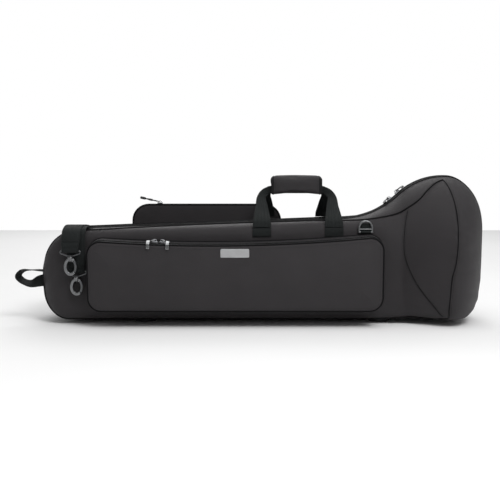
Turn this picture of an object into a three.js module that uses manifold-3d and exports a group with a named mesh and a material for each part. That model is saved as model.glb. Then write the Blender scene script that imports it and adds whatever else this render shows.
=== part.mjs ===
// A contoured soft case for a tenor trombone. It stands on four feet along its long side. The
// narrow end holds the slide and the flared end holds the bell. Two padded halves open at a fabric
// hinge along the bottom and close with one long zip over the top and both ends.
//
// Units are millimetres. X runs to the bell end, -Y to the front and Z up. The origin lies on the
// floor, under the middle of the overall box.

import * as THREE from 'three';
import { mergeVertices, toCreasedNormals } from 'three/addons/utils/BufferGeometryUtils.js';
import Module from 'manifold-3d';

const wasm = await Module();
wasm.setup();

// Body
const CASE_LENGTH = 940;
const CASE_DEPTH = 150;
const BELL_DEPTH = 250;
const NECK_HEIGHT = 210;
const NARROW_HEIGHT = 187;
const BELL_HEIGHT = 300;
const WALL = 9;
const PARTING_GAP = 0.8;
const RISE_ANGLE = Math.PI / 4;
const HOLLOW_SHARE = 0.55;
const CREST_INSET = 86;
const DOME_LENGTH = 82;
const DOME_POLE_RISE = 28;
const FLARE_SLOPE_SHARE = 0.5;
const NARROW_TOP_ROUND = 88;
const NARROW_BOTTOM_ROUND = 58;
const NARROW_SIDE_ROUND = 60;
const NOSE_SHARE = 0.385;
const NARROW_TOP_POWER = 2;
const NARROW_BOTTOM_POWER = 1.85;
const NARROW_SIDE_POWER = 2.45;
const DOME_TOP_POWER = 2.1;
const DOME_BOTTOM_POWER = 3.5;
const DOME_SIDE_POWER = 1.65;
const NECK_POWER = 8;
const FLARE_TOP_POWER = 2.1;
const FLARE_BOTTOM_POWER = 5.5;
const RIM_BOTTOM_POWER = 6;

// Fits
const SEAT_GAP = 0.3;
const RUNNING_GAP = 0.8;
const OVERRUN = 5;

// Feet
const FOOT_HEIGHT = 8;
const FOOT_LENGTH = 46;
const FOOT_WIDTH = 22;
const FOOT_BEVEL = 1.5;
const FOOT_FROM_MIDDLE = 34;
const FOOT_FROM_NARROW_END = 219;
const FOOT_FROM_BELL_END = 221;

// Main zip and hinge
const TAPE_WIDTH = 15;
const TAPE_PROUD = 1.5;
const TAPE_SPLIT = 0.67;
const COIL_WIDTH = 3;
const COIL_PROUD = 3.2;
const COIL_SPLIT = 0.15;
const COIL_START = 6;
const HINGE_END_INSET = 62;

// Zip sliders
const SLIDER_LENGTH = 12;
const SLIDER_WALL = 1.5;
const SLIDER_NOSE = 3;
const ARCH_LENGTH = 8;
const ARCH_WIDTH = 2.4;
const ARCH_HEIGHT = 4.2;
const ARCH_WALL = 1.2;
const SLIDER_SPACING = 16;
const PIN_RADIUS = 0.7;
const PULL_WIDTH = 7;
const PULL_THICKNESS = 1.6;
const PULL_EYE = 5.6;
const MAIN_PULL_FORWARD = 17;
const MAIN_PULL_OUT = 8;
const MAIN_PULL_DROP = 1.5;
const POCKET_PULL_OUT = 6;
const POCKET_PULL_DROP = 15;

// Front pocket
const POCKET_NARROW_MARGIN = 112;
const POCKET_RISE_MARGIN = 42.5;
const POCKET_BOTTOM = 27;
const POCKET_HEIGHT = 136;
const POCKET_SAG_SHARE = 0.422;
const POCKET_END_RISE = 18.3;
const POCKET_CORNER = 28;
const POCKET_WALL = 3;
const POCKET_FLARE = 3;
const GUSSET_DEPTH = 21.7;
const GUSSET_RIM = 4;
const COVER_DEPTH = 18.4;
const COVER_EDGE = 7;
const POCKET_COIL_WIDTH = 1.7;
const POCKET_COIL_PROUD = 2.3;
const POCKET_COIL_START = 14;
const POCKET_SLIDER_INSET = 144.5;

// Bare plate on the front pocket
const PLATE_LENGTH = 58;
const PLATE_HEIGHT = 25;
const PLATE_THICKNESS = 1.6;
const PLATE_CORNER = 2;
const PLATE_FROM_NARROW_SIDE = 271;
const PLATE_BELOW_RIM = 7;

// Music pocket on the rear
const MUSIC_NARROW_MARGIN = 179;
const MUSIC_LENGTH = 332;
const MUSIC_BOTTOM = 14;
const MUSIC_HEIGHT = 222;
const MUSIC_CORNER = 36;
const MUSIC_PANEL = 3;
const MUSIC_DEPTH = 21;
const MUSIC_EDGE = 6;
const MUSIC_WALL = 3;
const MUSIC_SLIDER_INSET = 61;
const CORD_RADIUS = 1.5;
const CORD_LENGTH = 46;
const CORD_BULB_RADIUS = 3;
const CORD_BULB_LENGTH = 13;
const CORD_COLLAR_RADIUS = 2.5;
const CORD_RISE_ANGLE = 0.22;

// Carry handle
const HANDLE_SETBACK = 95;
const WEB_WIDTH = 38;
const WEB_THICKNESS = 2;
const FOLD_WIDTH = 17.4;
const FOLD_THICKNESS = 4;
const FRONT_SPREAD = 149;
const REAR_SPREAD = 127;
const FRONT_ROOT_DROP = 13;
const FRONT_FOOT_LENGTH = 18;
const REAR_ROOT_OUT = 40;
const REAR_FOOT_LENGTH = 22;
const HANDLE_RISE = 51;
const GRIP_LENGTH = 110;
const GRIP_HEIGHT = 41;
const GRIP_DEPTH = 28;
const GRIP_PAD = 21;
const GRIP_CHEEK = 7;
const GRIP_RELIEF = 7;
const GRIP_ROUND = 10;
const GRIP_CORNER = 12;
const GRIP_BOTTOM_CORNER = 5;
const GRIP_ARCH = 2;

// D-ring
const D_RING_FROM_RISE = 44;
const D_RING_RADIUS = 13.6;
const D_RING_LEG = 9;
const D_RING_WIRE = 1.8;
const D_RING_BAR_HEIGHT = 6;
const D_RING_BAR_RADIUS = 1.2;
const D_TAB_WIDTH = 21;
const D_TAB_THICKNESS = 1.4;
const D_TAB_LENGTH = 18;

// Strap tails and snap hooks
const STRAP_FROM_NARROW_END = 76;
const STRAP_STAGGER = 9;
const STRAP_THICKNESS = 2;
const STRAP_STANDOFF = 9.5;
const STRAP_LAYER = 12;
const PATCH_MARGIN = 4;
const PATCH_LENGTH = 32;
const PATCH_PROUD = 1.8;
const STRAP_START = 16;
const STRAP_A_HANG = 44;
const STRAP_B_HANG = 87;
const EYE_WIRE = 1.6;
const EYE_WIDTH = 41;
const EYE_NECK = 10;
const EYE_CORNER = 1.8;
const EYE_SIDE = 5;
const EYE_HEIGHT = 10.5;
const POST_RADIUS = 2.2;
const POST_HEAD_RADIUS = 3.6;
const POST_HEAD_HEIGHT = 2.4;
const COLLAR_RADIUS = 5.2;
const COLLAR_HEIGHT = 7;
const HOOK_WIDTH = 26;
const HOOK_HEIGHT = 36;
const HOOK_BAR = 5;
const HOOK_THICKNESS = 6;
const GATE_THICKNESS = 4.4;
const GATE_KNUCKLE = 2.6;
const GATE_TOP_ANGLE = 0.7;
const GATE_BOTTOM_ANGLE = 0.87;

// Pull loop at the narrow end
const LOOP_REACH = 58;
const LOOP_WIDTH = 25;
const LOOP_THICKNESS = 2;
const LOOP_FRONT = 30;
const LOOP_PATCH_PROUD = 1.6;
const LOOP_UPPER_DROP = 85;
const LOOP_OPENING = 20;

// Fittings inside
const CRADLE_THICKNESS = 28;
const CRADLE_CLEARANCE = 12;
const SLIDE_CRADLE_FROM_NARROW_END = 150;
const SLIDE_CRADLE_SPACING = 330;
const SLIDE_NOTCH_RADIUS = 17;
const SLIDE_NOTCH_SPREAD = 84;
const SLIDE_NOTCH_DEPTH = 30;
const SLIDE_STRAP_WIDTH = 20;
const SLIDE_STRAP_THICKNESS = 1.6;
const SLIDE_STRAP_LENGTH = 130;
const MOUTHPIECE_LENGTH = 60;
const MOUTHPIECE_BORE = 14;
const BELL_CRADLE_SPACING = 175;
const BELL_CRADLE_FROM_END = 130;
const BELL_NOTCH_RADIUS = 62;
const BELL_NOTCH_SMALL_RADIUS = 24;

// Facet counts and weld
const QUADRANT_STEPS = 6;
const CORNER_BIAS_SHARE = 0.55;
const ARC_STEPS = 6;
const HALVINGS = 30;
const WELD = 1e-4;
const CREASE_ANGLE = 0.6;
const NARROW_STATION_SHARES = [0, 0.025, 0.1, 0.27, 0.55, 1];
const DOME_STATION_SHARES = [0.58, 0.31, 0.13, 0.03, 0];

// Places worked out from the sizes
const halfSpan = (CASE_LENGTH + LOOP_REACH + COIL_PROUD) / 2;
const bellEnd = halfSpan - COIL_PROUD;
const narrowEnd = bellEnd - CASE_LENGTH;
const faceY = CASE_DEPTH / 2;
const bellTop = FOOT_HEIGHT + BELL_HEIGHT;
const neckTop = FOOT_HEIGHT + NECK_HEIGHT;
const narrowTop = FOOT_HEIGHT + NARROW_HEIGHT;
const crestX = bellEnd - CREST_INSET;
const rimX = bellEnd - DOME_LENGTH;
const riseRadii = (BELL_HEIGHT - NECK_HEIGHT) / (1 - Math.cos(RISE_ANGLE));
const hollowRadius = riseRadii * HOLLOW_SHARE;
const crownRadius = riseRadii - hollowRadius;
const riseX = crestX - riseRadii * Math.sin(RISE_ANGLE);
const turnX = riseX + hollowRadius * Math.sin(RISE_ANGLE);
const hollowZ = neckTop + hollowRadius;
const crownZ = bellTop - crownRadius;
const neckCentre = FOOT_HEIGHT + NECK_HEIGHT / 2;
const bellCentre = FOOT_HEIGHT + BELL_HEIGHT / 2;
const noseCentre = FOOT_HEIGHT + NARROW_HEIGHT * NOSE_SHARE;
const neckSlope = (neckTop - narrowTop) / (riseX - narrowEnd);
const reach = CASE_LENGTH + LOOP_REACH;

// Solids

function signedVolume(points, corners) {
  const [a, b, c] = [new THREE.Vector3(), new THREE.Vector3(), new THREE.Vector3()];
  let total = 0;
  for (let i = 0; i < corners.length; i += 3) {
    a.fromBufferAttribute(points, corners[i]);
    b.fromBufferAttribute(points, corners[i + 1]);
    c.fromBufferAttribute(points, corners[i + 2]);
    total += a.dot(b.cross(c));
  }
  return total;
}

// A closed geometry as a solid that can be joined and cut.
function solid(geometry) {
  const bare = new THREE.BufferGeometry();
  bare.setAttribute('position', geometry.getAttribute('position').clone());
  bare.setIndex(geometry.getIndex());
  const merged = mergeVertices(bare, WELD);
  const points = merged.getAttribute('position');
  const indices = merged.getIndex().array;
  const corners = [];
  for (let i = 0; i < indices.length; i += 3) {
    const [a, b, c] = indices.slice(i, i + 3);
    if (a !== b && b !== c && c !== a) corners.push(a, b, c);
  }
  if (signedVolume(points, corners) < 0) corners.reverse();
  const mesh = new wasm.Mesh({
    numProp: 3,
    vertProperties: new Float32Array(points.array),
    triVerts: new Uint32Array(corners),
  });
  return new wasm.Manifold(mesh);
}

function union(shapes) {
  return shapes.reduce((whole, shape) => whole.add(shape));
}

// A box between two opposite corners.
function block(low, high) {
  const geometry = new THREE.BoxGeometry(...low.map((value, i) => high[i] - value));
  geometry.translate(...low.map((value, i) => (value + high[i]) / 2));
  return solid(geometry);
}

// The middle point of a ring, which closes a flat end as a fan.
function middle(ring) {
  const sum = ring.reduce((total, point) => total.add(point), new THREE.Vector3());
  return sum.divideScalar(ring.length);
}

// A skin over rings of points. A ring of one point is a pole. An open end gets a flat fan.
function loft(sections, closed = false) {
  const rings = [...sections];
  if (!closed && rings[0].length > 1) rings.unshift([middle(rings[0])]);
  if (!closed && rings.at(-1).length > 1) rings.push([middle(rings.at(-1))]);
  const positions = [];
  const starts = [];
  for (const ring of rings) {
    starts.push(positions.length / 3);
    for (const point of ring) positions.push(point.x, point.y, point.z);
  }
  const index = [];
  const spans = closed ? rings.length : rings.length - 1;
  for (let i = 0; i < spans; i += 1) {
    const k = (i + 1) % rings.length;
    const lowPole = rings[i].length === 1;
    const highPole = rings[k].length === 1;
    const count = Math.max(rings[i].length, rings[k].length);
    for (let j = 0; j < count; j += 1) {
      const next = (j + 1) % count;
      const a = starts[i] + (lowPole ? 0 : j);
      const b = starts[i] + (lowPole ? 0 : next);
      const c = starts[k] + (highPole ? 0 : next);
      const d = starts[k] + (highPole ? 0 : j);
      if (!lowPole) index.push(a, b, c);
      if (!highPole) index.push(a, c, d);
    }
  }
  const geometry = new THREE.BufferGeometry();
  geometry.setAttribute('position', new THREE.Float32BufferAttribute(positions, 3));
  geometry.setIndex(index);
  return solid(geometry);
}

// An outline of X and Z, as wide in Y as from back towards the front.
function slab(shape, backY, thickness, curveSegments = ARC_STEPS) {
  const geometry = new THREE.ExtrudeGeometry(shape, { depth: thickness, bevelEnabled: false, curveSegments });
  geometry.rotateX(Math.PI / 2);
  geometry.translate(0, backY, 0);
  return solid(geometry);
}

// An outline of Y and Z, drawn along X.
function bar(shape, startX, length, curveSegments = ARC_STEPS) {
  const geometry = new THREE.ExtrudeGeometry(shape, { depth: length, bevelEnabled: false, curveSegments });
  const turn = new THREE.Matrix4().makeBasis(
    new THREE.Vector3(0, 1, 0),
    new THREE.Vector3(0, 0, 1),
    new THREE.Vector3(1, 0, 0),
  );
  geometry.applyMatrix4(turn);
  geometry.translate(startX, 0, 0);
  return solid(geometry);
}

// A round bar along one axis, around its middle.
function rod(radius, length, axis, at = [0, 0, 0], sides = 16) {
  const geometry = new THREE.CylinderGeometry(radius, radius, length, sides);
  if (axis === 'x') geometry.rotateZ(-Math.PI / 2);
  if (axis === 'z') geometry.rotateX(Math.PI / 2);
  geometry.translate(...at);
  return solid(geometry);
}

// A closed outline with its corners cut, so that a wire can follow it.
function cutCorners(corners, distance) {
  return corners.flatMap((corner, i) => [corners.at(i - 1), corners[(i + 1) % corners.length]].map((next) => (
    corner.clone().add(next.clone().sub(corner).setLength(distance))
  )));
}

// A wire loop along a closed flat outline of X and Z, at Y zero, or lying flat with its Z as Y.
function wireLoop(outline, radius, sides = 8, lying = false) {
  const rings = outline.map((point, i) => {
    const before = outline.at(i - 1);
    const after = outline[(i + 1) % outline.length];
    const into = point.clone().sub(before).normalize();
    const out = after.clone().sub(point).normalize();
    const along = into.clone().add(out).normalize();
    const stretch = radius / along.dot(out);
    const ring = [];
    for (let k = 0; k < sides; k += 1) {
      const angle = (2 * Math.PI * k) / sides;
      const side = stretch * Math.cos(angle);
      const [x, level, rise] = [point.x - along.y * side, radius * Math.sin(angle), point.y + along.x * side];
      ring.push(lying ? new THREE.Vector3(x, rise, level) : new THREE.Vector3(x, level, rise));
    }
    return ring;
  });
  return loft(rings, true);
}

// A webbing ribbon along a smooth path. Widths and thicknesses follow the path's control points.
function ribbon(controls, widths, thicknesses, acrossOf, steps) {
  const curve = new THREE.CatmullRomCurve3(controls, false, 'centripetal');
  const valueAt = (values, share) => {
    const place = share * (values.length - 1);
    const low = Math.min(Math.floor(place), values.length - 2);
    return THREE.MathUtils.lerp(values[low], values[low + 1], place - low);
  };
  const rings = [];
  for (let i = 0; i <= steps; i += 1) {
    const share = i / steps;
    const centre = curve.getPoint(share);
    const tangent = curve.getTangent(share);
    const across = acrossOf(tangent, share).normalize();
    const normal = new THREE.Vector3().crossVectors(across, tangent).normalize();
    const side = across.multiplyScalar(valueAt(widths, share) / 2);
    const lift = normal.multiplyScalar(valueAt(thicknesses, share) / 2);
    rings.push([
      centre.clone().add(side).add(lift),
      centre.clone().sub(side).add(lift),
      centre.clone().sub(side).sub(lift),
      centre.clone().add(side).sub(lift),
    ]);
  }
  return loft(rings);
}

function arcPoints(centreX, centreZ, radius, from, to, steps) {
  const points = [];
  for (let i = 0; i <= steps; i += 1) {
    const angle = from + ((to - from) * i) / steps;
    points.push(new THREE.Vector2(centreX + radius * Math.cos(angle), centreZ + radius * Math.sin(angle)));
  }
  return points;
}

function roundedRectangle(left, bottom, right, top, corner, steps = 4) {
  return [
    ...arcPoints(left + corner, bottom + corner, corner, -Math.PI, -Math.PI / 2, steps),
    ...arcPoints(right - corner, bottom + corner, corner, -Math.PI / 2, 0, steps),
    ...arcPoints(right - corner, top - corner, corner, 0, Math.PI / 2, steps),
    ...arcPoints(left + corner, top - corner, corner, Math.PI / 2, Math.PI, steps),
  ];
}

// Finishes

const FINISHES = {
  nylon: [0x2c2a2c, 0.85, 0],
  webbing: [0x1d1f1e, 0.9, 0],
  lining: [0x3a3a3d, 0.95, 0],
  foam: [0x232325, 1, 0],
  coil: [0x18181a, 0.6, 0],
  steel: [0xb9bcc0, 0.3, 1],
  black_metal: [0x141416, 0.4, 0.6],
  rubber: [0x111112, 0.8, 0],
};

function finish(kind) {
  const [color, roughness, metalness] = FINISHES[kind];
  return new THREE.MeshStandardMaterial({ color, roughness, metalness });
}

// A named mesh of a solid.
function piece(name, shape, kind) {
  const cut = shape.getMesh();
  const geometry = new THREE.BufferGeometry();
  geometry.setAttribute('position', new THREE.BufferAttribute(new Float32Array(cut.vertProperties), 3));
  geometry.setIndex(new THREE.BufferAttribute(new Uint32Array(cut.triVerts), 1));
  const mesh = new THREE.Mesh(toCreasedNormals(geometry, CREASE_ANGLE), finish(kind));
  mesh.name = name;
  return mesh;
}

// Body shape

function smoothShare(value, low, high) {
  return THREE.MathUtils.smoothstep(value, low, high);
}

// The height of the case's ridge at x, moved out by offset.
function topLine(x, offset) {
  if (x >= crestX) return bellTop + offset;
  if (x >= turnX) return crownZ + Math.sqrt((crownRadius + offset) ** 2 - (x - crestX) ** 2);
  if (x >= riseX) return hollowZ - Math.sqrt((hollowRadius - offset) ** 2 - (x - riseX) ** 2);
  return neckTop + offset - (riseX - x) * neckSlope;
}

// The rise of a rounded end: 0 at its pole and 1 from length on.
function endShare(distance, length, power) {
  const share = THREE.MathUtils.clamp(distance / length, 0, 1);
  return (1 - (1 - share) ** power) ** (1 / power);
}

function centreLine(x, offset) {
  const fromPole = x - narrowEnd + offset;
  const share = THREE.MathUtils.clamp(fromPole / (NARROW_TOP_ROUND + offset), 0, 1);
  const narrow = THREE.MathUtils.lerp(neckCentre, noseCentre, (1 - share) ** 2);
  const bell = bellCentre + DOME_POLE_RISE * smoothShare(x, rimX, bellEnd);
  return THREE.MathUtils.lerp(narrow, bell, smoothShare(x, riseX, turnX));
}

function superRadius(angle, depth, height, power) {
  const side = Math.abs(Math.cos(angle)) / depth;
  const rise = Math.abs(Math.sin(angle)) / height;
  return (side ** power + rise ** power) ** (-1 / power);
}

// The skin's point on the section at x, at a turn from +Y towards +Z round the centre line.
function bodyPoint(x, turn, offset) {
  const fromNarrow = x - narrowEnd + offset;
  const fromBell = bellEnd + offset - x;
  const centre = centreLine(x, offset);
  const up = Math.sin(turn) >= 0;
  const narrowRound = (up ? NARROW_TOP_ROUND : NARROW_BOTTOM_ROUND) + offset;
  const narrowPower = up ? NARROW_TOP_POWER : NARROW_BOTTOM_POWER;
  const domePower = up ? DOME_TOP_POWER : DOME_BOTTOM_POWER;
  const rise = up ? topLine(x, offset) - centre : centre - FOOT_HEIGHT + offset;
  const height = rise * endShare(fromNarrow, narrowRound, narrowPower)
    * endShare(fromBell, DOME_LENGTH + offset, domePower);
  const taper = endShare(fromNarrow, NARROW_SIDE_ROUND + offset, NARROW_SIDE_POWER)
    * endShare(fromBell, DOME_LENGTH + offset, DOME_SIDE_POWER);
  const neckPower = up
    ? THREE.MathUtils.lerp(NECK_POWER, FLARE_TOP_POWER, smoothShare(x, riseX, turnX))
    : THREE.MathUtils.lerp(NECK_POWER, RIM_BOTTOM_POWER, smoothShare(x, turnX, rimX));
  const flareDepth = BELL_DEPTH / 2 + offset - FLARE_SLOPE_SHARE * Math.max(rimX - x, 0);
  const flarePower = up ? FLARE_TOP_POWER : FLARE_BOTTOM_POWER;
  const widest = Math.max(faceY + offset, flareDepth) * taper;
  const angle = Math.atan2(height * Math.sin(turn), widest * Math.cos(turn));
  const neck = superRadius(angle, (faceY + offset) * taper, height, neckPower);
  const flare = flareDepth > 0 ? superRadius(angle, flareDepth * taper, height, flarePower) : 0;
  const radius = Math.max(neck, flare);
  return new THREE.Vector3(x, radius * Math.cos(angle), centre + radius * Math.sin(angle));
}

function stations(offset) {
  const list = NARROW_STATION_SHARES.map((share) => narrowEnd - offset + share * (NARROW_TOP_ROUND + offset));
  for (let i = 0; i <= ARC_STEPS; i += 1) {
    list.push(riseX + hollowRadius * Math.sin((RISE_ANGLE * i) / ARC_STEPS));
  }
  for (let i = ARC_STEPS - 1; i >= 0; i -= 1) {
    list.push(crestX - crownRadius * Math.sin((RISE_ANGLE * i) / ARC_STEPS));
  }
  list.push(rimX);
  for (const share of DOME_STATION_SHARES) list.push(bellEnd + offset - share * (DOME_LENGTH + offset));
  return list;
}

// Turns round a section, closer together at its four corners.
const ringTurns = Array.from({ length: 4 * QUADRANT_STEPS }, (_, i) => {
  const share = (i % QUADRANT_STEPS) / QUADRANT_STEPS;
  const bias = (CORNER_BIAS_SHARE / (2 * Math.PI)) * Math.sin(2 * Math.PI * share);
  return (Math.PI / 2) * (Math.floor(i / QUADRANT_STEPS) + share + bias);
});

const bodies = new Map();

// The whole case's outer form, moved out by offset.
function body(offset) {
  if (bodies.has(offset)) return bodies.get(offset);
  const list = stations(offset);
  const rings = list.map((x, i) => {
    if (i === 0 || i === list.length - 1) return [new THREE.Vector3(x, 0, centreLine(x, offset))];
    return ringTurns.map((turn) => bodyPoint(x, turn, offset));
  });
  bodies.set(offset, loft(rings));
  return bodies.get(offset);
}

// A layer that lies on the case's skin and is proud of it, inside a box.
function layer(proud, low, high) {
  return body(proud).subtract(body(SEAT_GAP)).intersect(block(low, high));
}

// The turn between two turns at which the skin's point passes a level, found by halving.
function turnWhere(x, offset, from, to, above) {
  let [low, high] = [from, to];
  for (let i = 0; i < HALVINGS; i += 1) {
    const turn = (low + high) / 2;
    if (above(bodyPoint(x, turn, offset))) low = turn;
    else high = turn;
  }
  return low;
}

// The front face's distance from the middle plane at a height, and the roof's height at a distance.
function faceAt(x, z, offset) {
  const turn = turnWhere(x, offset, Math.PI / 2, Math.PI * 3 / 2, (point) => point.z > z);
  return -bodyPoint(x, turn, offset).y;
}

function roofAt(x, y, offset) {
  return bodyPoint(x, turnWhere(x, offset, 0, Math.PI / 2, (point) => point.y > y), offset).z;
}

// The halves: side is -1 for the front and 1 for the rear.

function sideBox(side, inner, outer, low, high) {
  const [near, far] = side < 0 ? [-outer, -inner] : [inner, outer];
  return [[low[0], near, low[1]], [high[0], far, high[1]]];
}

function shellHalf(side) {
  const box = sideBox(side, PARTING_GAP / 2, reach, [-reach, -reach], [reach, reach]);
  return body(0).subtract(body(-WALL)).intersect(block(...box));
}

function zipTape(side) {
  const tapeBox = sideBox(side, TAPE_SPLIT, TAPE_WIDTH, [-reach, -reach], [reach, reach]);
  const coilBox = sideBox(side, COIL_SPLIT, COIL_WIDTH, [-reach, FOOT_HEIGHT + COIL_START], [reach, reach]);
  const hingeZone = block(
    [narrowEnd + HINGE_END_INSET, -reach, -reach],
    [bellEnd - HINGE_END_INSET, reach, neckCentre],
  );
  return layer(TAPE_PROUD, ...tapeBox).add(layer(COIL_PROUD, ...coilBox)).subtract(hingeZone);
}

function hingeLeaf(side) {
  const box = sideBox(
    side,
    SEAT_GAP,
    TAPE_WIDTH,
    [narrowEnd + HINGE_END_INSET + SEAT_GAP, 0],
    [bellEnd - HINGE_END_INSET - SEAT_GAP, neckCentre],
  );
  return layer(TAPE_PROUD, ...box);
}

// A half-moon rubber foot with its bottom at Z zero and its round side at -Y.
function foot() {
  const half = FOOT_LENGTH / 2;
  const outline = (inset) => {
    const points = [];
    const steps = 2 * ARC_STEPS;
    for (let i = 0; i <= steps; i += 1) {
      const angle = Math.PI + (Math.PI * i) / steps;
      points.push([(half - inset) * Math.cos(angle), (FOOT_WIDTH - 2 * inset) * Math.sin(angle)]);
    }
    return points.map(([x, y]) => [x, y + FOOT_WIDTH / 2 - inset]);
  };
  const ring = (inset, z) => outline(inset).map(([x, y]) => new THREE.Vector3(x, y, z));
  const top = FOOT_HEIGHT - SEAT_GAP;
  return loft([ring(FOOT_BEVEL, 0), ring(0, FOOT_BEVEL), ring(0, top)]);
}

// Zip sliders. Local X runs along the zip, Z away from it, and Y zero is the split. The slider's
// wall stands at -Y beside the half coil that carries it, and its plate covers both half coils.

function slider(coilWidth, coilProud, baseProud) {
  const underside = coilProud + RUNNING_GAP;
  const roof = underside + SLIDER_WALL;
  const inner = coilWidth + RUNNING_GAP / 2;
  const outer = inner + SLIDER_WALL;
  const base = baseProud + RUNNING_GAP;
  const half = SLIDER_LENGTH / 2;
  const section = new THREE.Shape([
    new THREE.Vector2(-outer, base),
    new THREE.Vector2(-inner, base),
    new THREE.Vector2(-inner, underside),
    new THREE.Vector2(outer, underside),
    new THREE.Vector2(outer, roof),
    new THREE.Vector2(-outer, roof),
  ]);
  const noseCut = (end, side) => {
    const cut = new THREE.Shape([
      new THREE.Vector2(end * half, side * outer),
      new THREE.Vector2(end * (half - SLIDER_NOSE), side * (outer + OVERRUN)),
      new THREE.Vector2(end * (half + OVERRUN), side * (outer + OVERRUN)),
      new THREE.Vector2(end * (half + OVERRUN), side * (outer - SLIDER_NOSE)),
      new THREE.Vector2(end * half, side * (outer - SLIDER_NOSE / 2)),
      new THREE.Vector2(end * (half - SLIDER_NOSE), side * outer),
    ]);
    const geometry = new THREE.ExtrudeGeometry(cut, { depth: roof + OVERRUN, bevelEnabled: false });
    return solid(geometry);
  };
  const arch = new THREE.Shape([
    new THREE.Vector2(-ARCH_LENGTH / 2, roof - ARCH_WALL / 2),
    new THREE.Vector2(ARCH_LENGTH / 2, roof - ARCH_WALL / 2),
    new THREE.Vector2(ARCH_LENGTH / 2, roof + ARCH_HEIGHT - ARCH_WALL),
    new THREE.Vector2(ARCH_LENGTH / 2 - ARCH_WALL, roof + ARCH_HEIGHT),
    new THREE.Vector2(ARCH_WALL - ARCH_LENGTH / 2, roof + ARCH_HEIGHT),
    new THREE.Vector2(-ARCH_LENGTH / 2, roof + ARCH_HEIGHT - ARCH_WALL),
  ]);
  const window = block(
    [ARCH_WALL - ARCH_LENGTH / 2, -ARCH_WIDTH, roof],
    [ARCH_LENGTH / 2 - ARCH_WALL, ARCH_WIDTH, roof + ARCH_HEIGHT - ARCH_WALL],
  );
  const bridge = slab(arch, ARCH_WIDTH / 2, ARCH_WIDTH).subtract(window);
  const plate = bar(section, -half, SLIDER_LENGTH);
  const trimmed = [[-1, -1], [-1, 1]].reduce((shape, [end, side]) => shape.subtract(noseCut(end, side)), plate);
  return trimmed.add(bridge);
}

// The height of a pull's pin over the zip's base.
function pinHeight(coilProud) {
  return coilProud + RUNNING_GAP + SLIDER_WALL + (ARCH_HEIGHT - ARCH_WALL) / 2;
}

// A pull around its pin at the origin: two short arms, a pin under the arch and a blade that runs
// out along the zip, bends forward and hangs down by drop.
function pull(direction, outward, forward, drop) {
  const eye = PULL_EYE * direction;
  const armWidth = (PULL_WIDTH - ARCH_WIDTH) / 2 - RUNNING_GAP / 2;
  const armCentre = PULL_WIDTH / 2 - armWidth / 2;
  const arms = [-1, 1].map((side) => block(
    [Math.min(0, eye) - PIN_RADIUS, side * armCentre - armWidth / 2, -PULL_THICKNESS / 2],
    [Math.max(0, eye) + PIN_RADIUS, side * armCentre + armWidth / 2, PULL_THICKNESS / 2],
  ));
  const pin = rod(PIN_RADIUS, PULL_WIDTH - armWidth, 'y', [0, 0, 0], 8);
  const path = [
    [-PIN_RADIUS, 0, 0],
    [outward / 3, 0, 0],
    [outward, -forward / 2, 0],
    [outward, -forward + PULL_THICKNESS, -drop / 4],
    [outward, -forward, -drop],
  ];
  const controls = path.map(([x, y, z]) => new THREE.Vector3(eye + x * direction, y, z));
  const widths = path.map(() => PULL_WIDTH);
  const thicknesses = path.map(() => PULL_THICKNESS);
  const tilt = drop > PULL_WIDTH ? Math.PI / 2 : 0;
  const across = (tangent, share) => {
    const lean = tilt * smoothShare(share, 0.5, 1);
    return new THREE.Vector3(0, -Math.sin(lean), Math.cos(lean)).cross(tangent);
  };
  const blade = ribbon(controls, widths, thicknesses, across, 10);
  return union([...arms, pin, blade]);
}

// Front pocket

const pocketLeft = narrowEnd + POCKET_NARROW_MARGIN;
const pocketRight = turnX - POCKET_RISE_MARGIN;
const pocketBottom = FOOT_HEIGHT + POCKET_BOTTOM;
const sagX = THREE.MathUtils.lerp(pocketLeft, pocketRight, POCKET_SAG_SHARE);
const sagRadius = (pocketRight - sagX) ** 2 / (2 * POCKET_END_RISE);
const sagZ = pocketBottom + POCKET_HEIGHT + sagRadius;
const gussetY = -faceY - SEAT_GAP - GUSSET_DEPTH;
const coverY = gussetY - 2 * SEAT_GAP;
const coverFrontY = coverY - COVER_DEPTH;

function pocketTop(x, outset) {
  return sagZ - Math.sqrt((sagRadius - outset) ** 2 - (x - sagX) ** 2);
}

// The pocket's outline, moved out by outset: straight sides and bottom under a sagging top.
function pocketOutline(outset) {
  const corner = POCKET_CORNER + outset;
  const topRadius = sagRadius - outset;
  const low = pocketBottom + POCKET_CORNER;
  const leftX = pocketLeft + POCKET_CORNER;
  const rightX = pocketRight - POCKET_CORNER;
  const cornerReach = sagRadius + POCKET_CORNER;
  const upper = (x) => sagZ - Math.sqrt(cornerReach ** 2 - (x - sagX) ** 2);
  const lean = (x) => Math.asin((x - sagX) / cornerReach);
  const points = [
    ...arcPoints(leftX, low, corner, -Math.PI, -Math.PI / 2, 5),
    ...arcPoints(rightX, low, corner, -Math.PI / 2, 0, 5),
    ...arcPoints(rightX, upper(rightX), corner, 0, Math.PI / 2 + lean(rightX), 5),
  ];
  const sagSteps = 10;
  for (let i = 1; i < sagSteps; i += 1) {
    const angle = THREE.MathUtils.lerp(lean(rightX), lean(leftX), i / sagSteps);
    points.push(new THREE.Vector2(sagX + topRadius * Math.sin(angle), sagZ - topRadius * Math.cos(angle)));
  }
  points.push(...arcPoints(leftX, upper(leftX), corner, Math.PI / 2 + lean(leftX), Math.PI, 5));
  return points;
}

function musicOutline(outset) {
  const left = narrowEnd + MUSIC_NARROW_MARGIN - outset;
  const right = left + MUSIC_LENGTH + 2 * outset;
  const bottom = FOOT_HEIGHT + MUSIC_BOTTOM - outset;
  const top = bottom + MUSIC_HEIGHT + 2 * outset;
  return roundedRectangle(left, bottom, right, top, MUSIC_CORNER + outset, 5);
}

function ringAt(points, y) {
  return points.map((point) => new THREE.Vector3(point.x, y, point.y));
}

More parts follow.
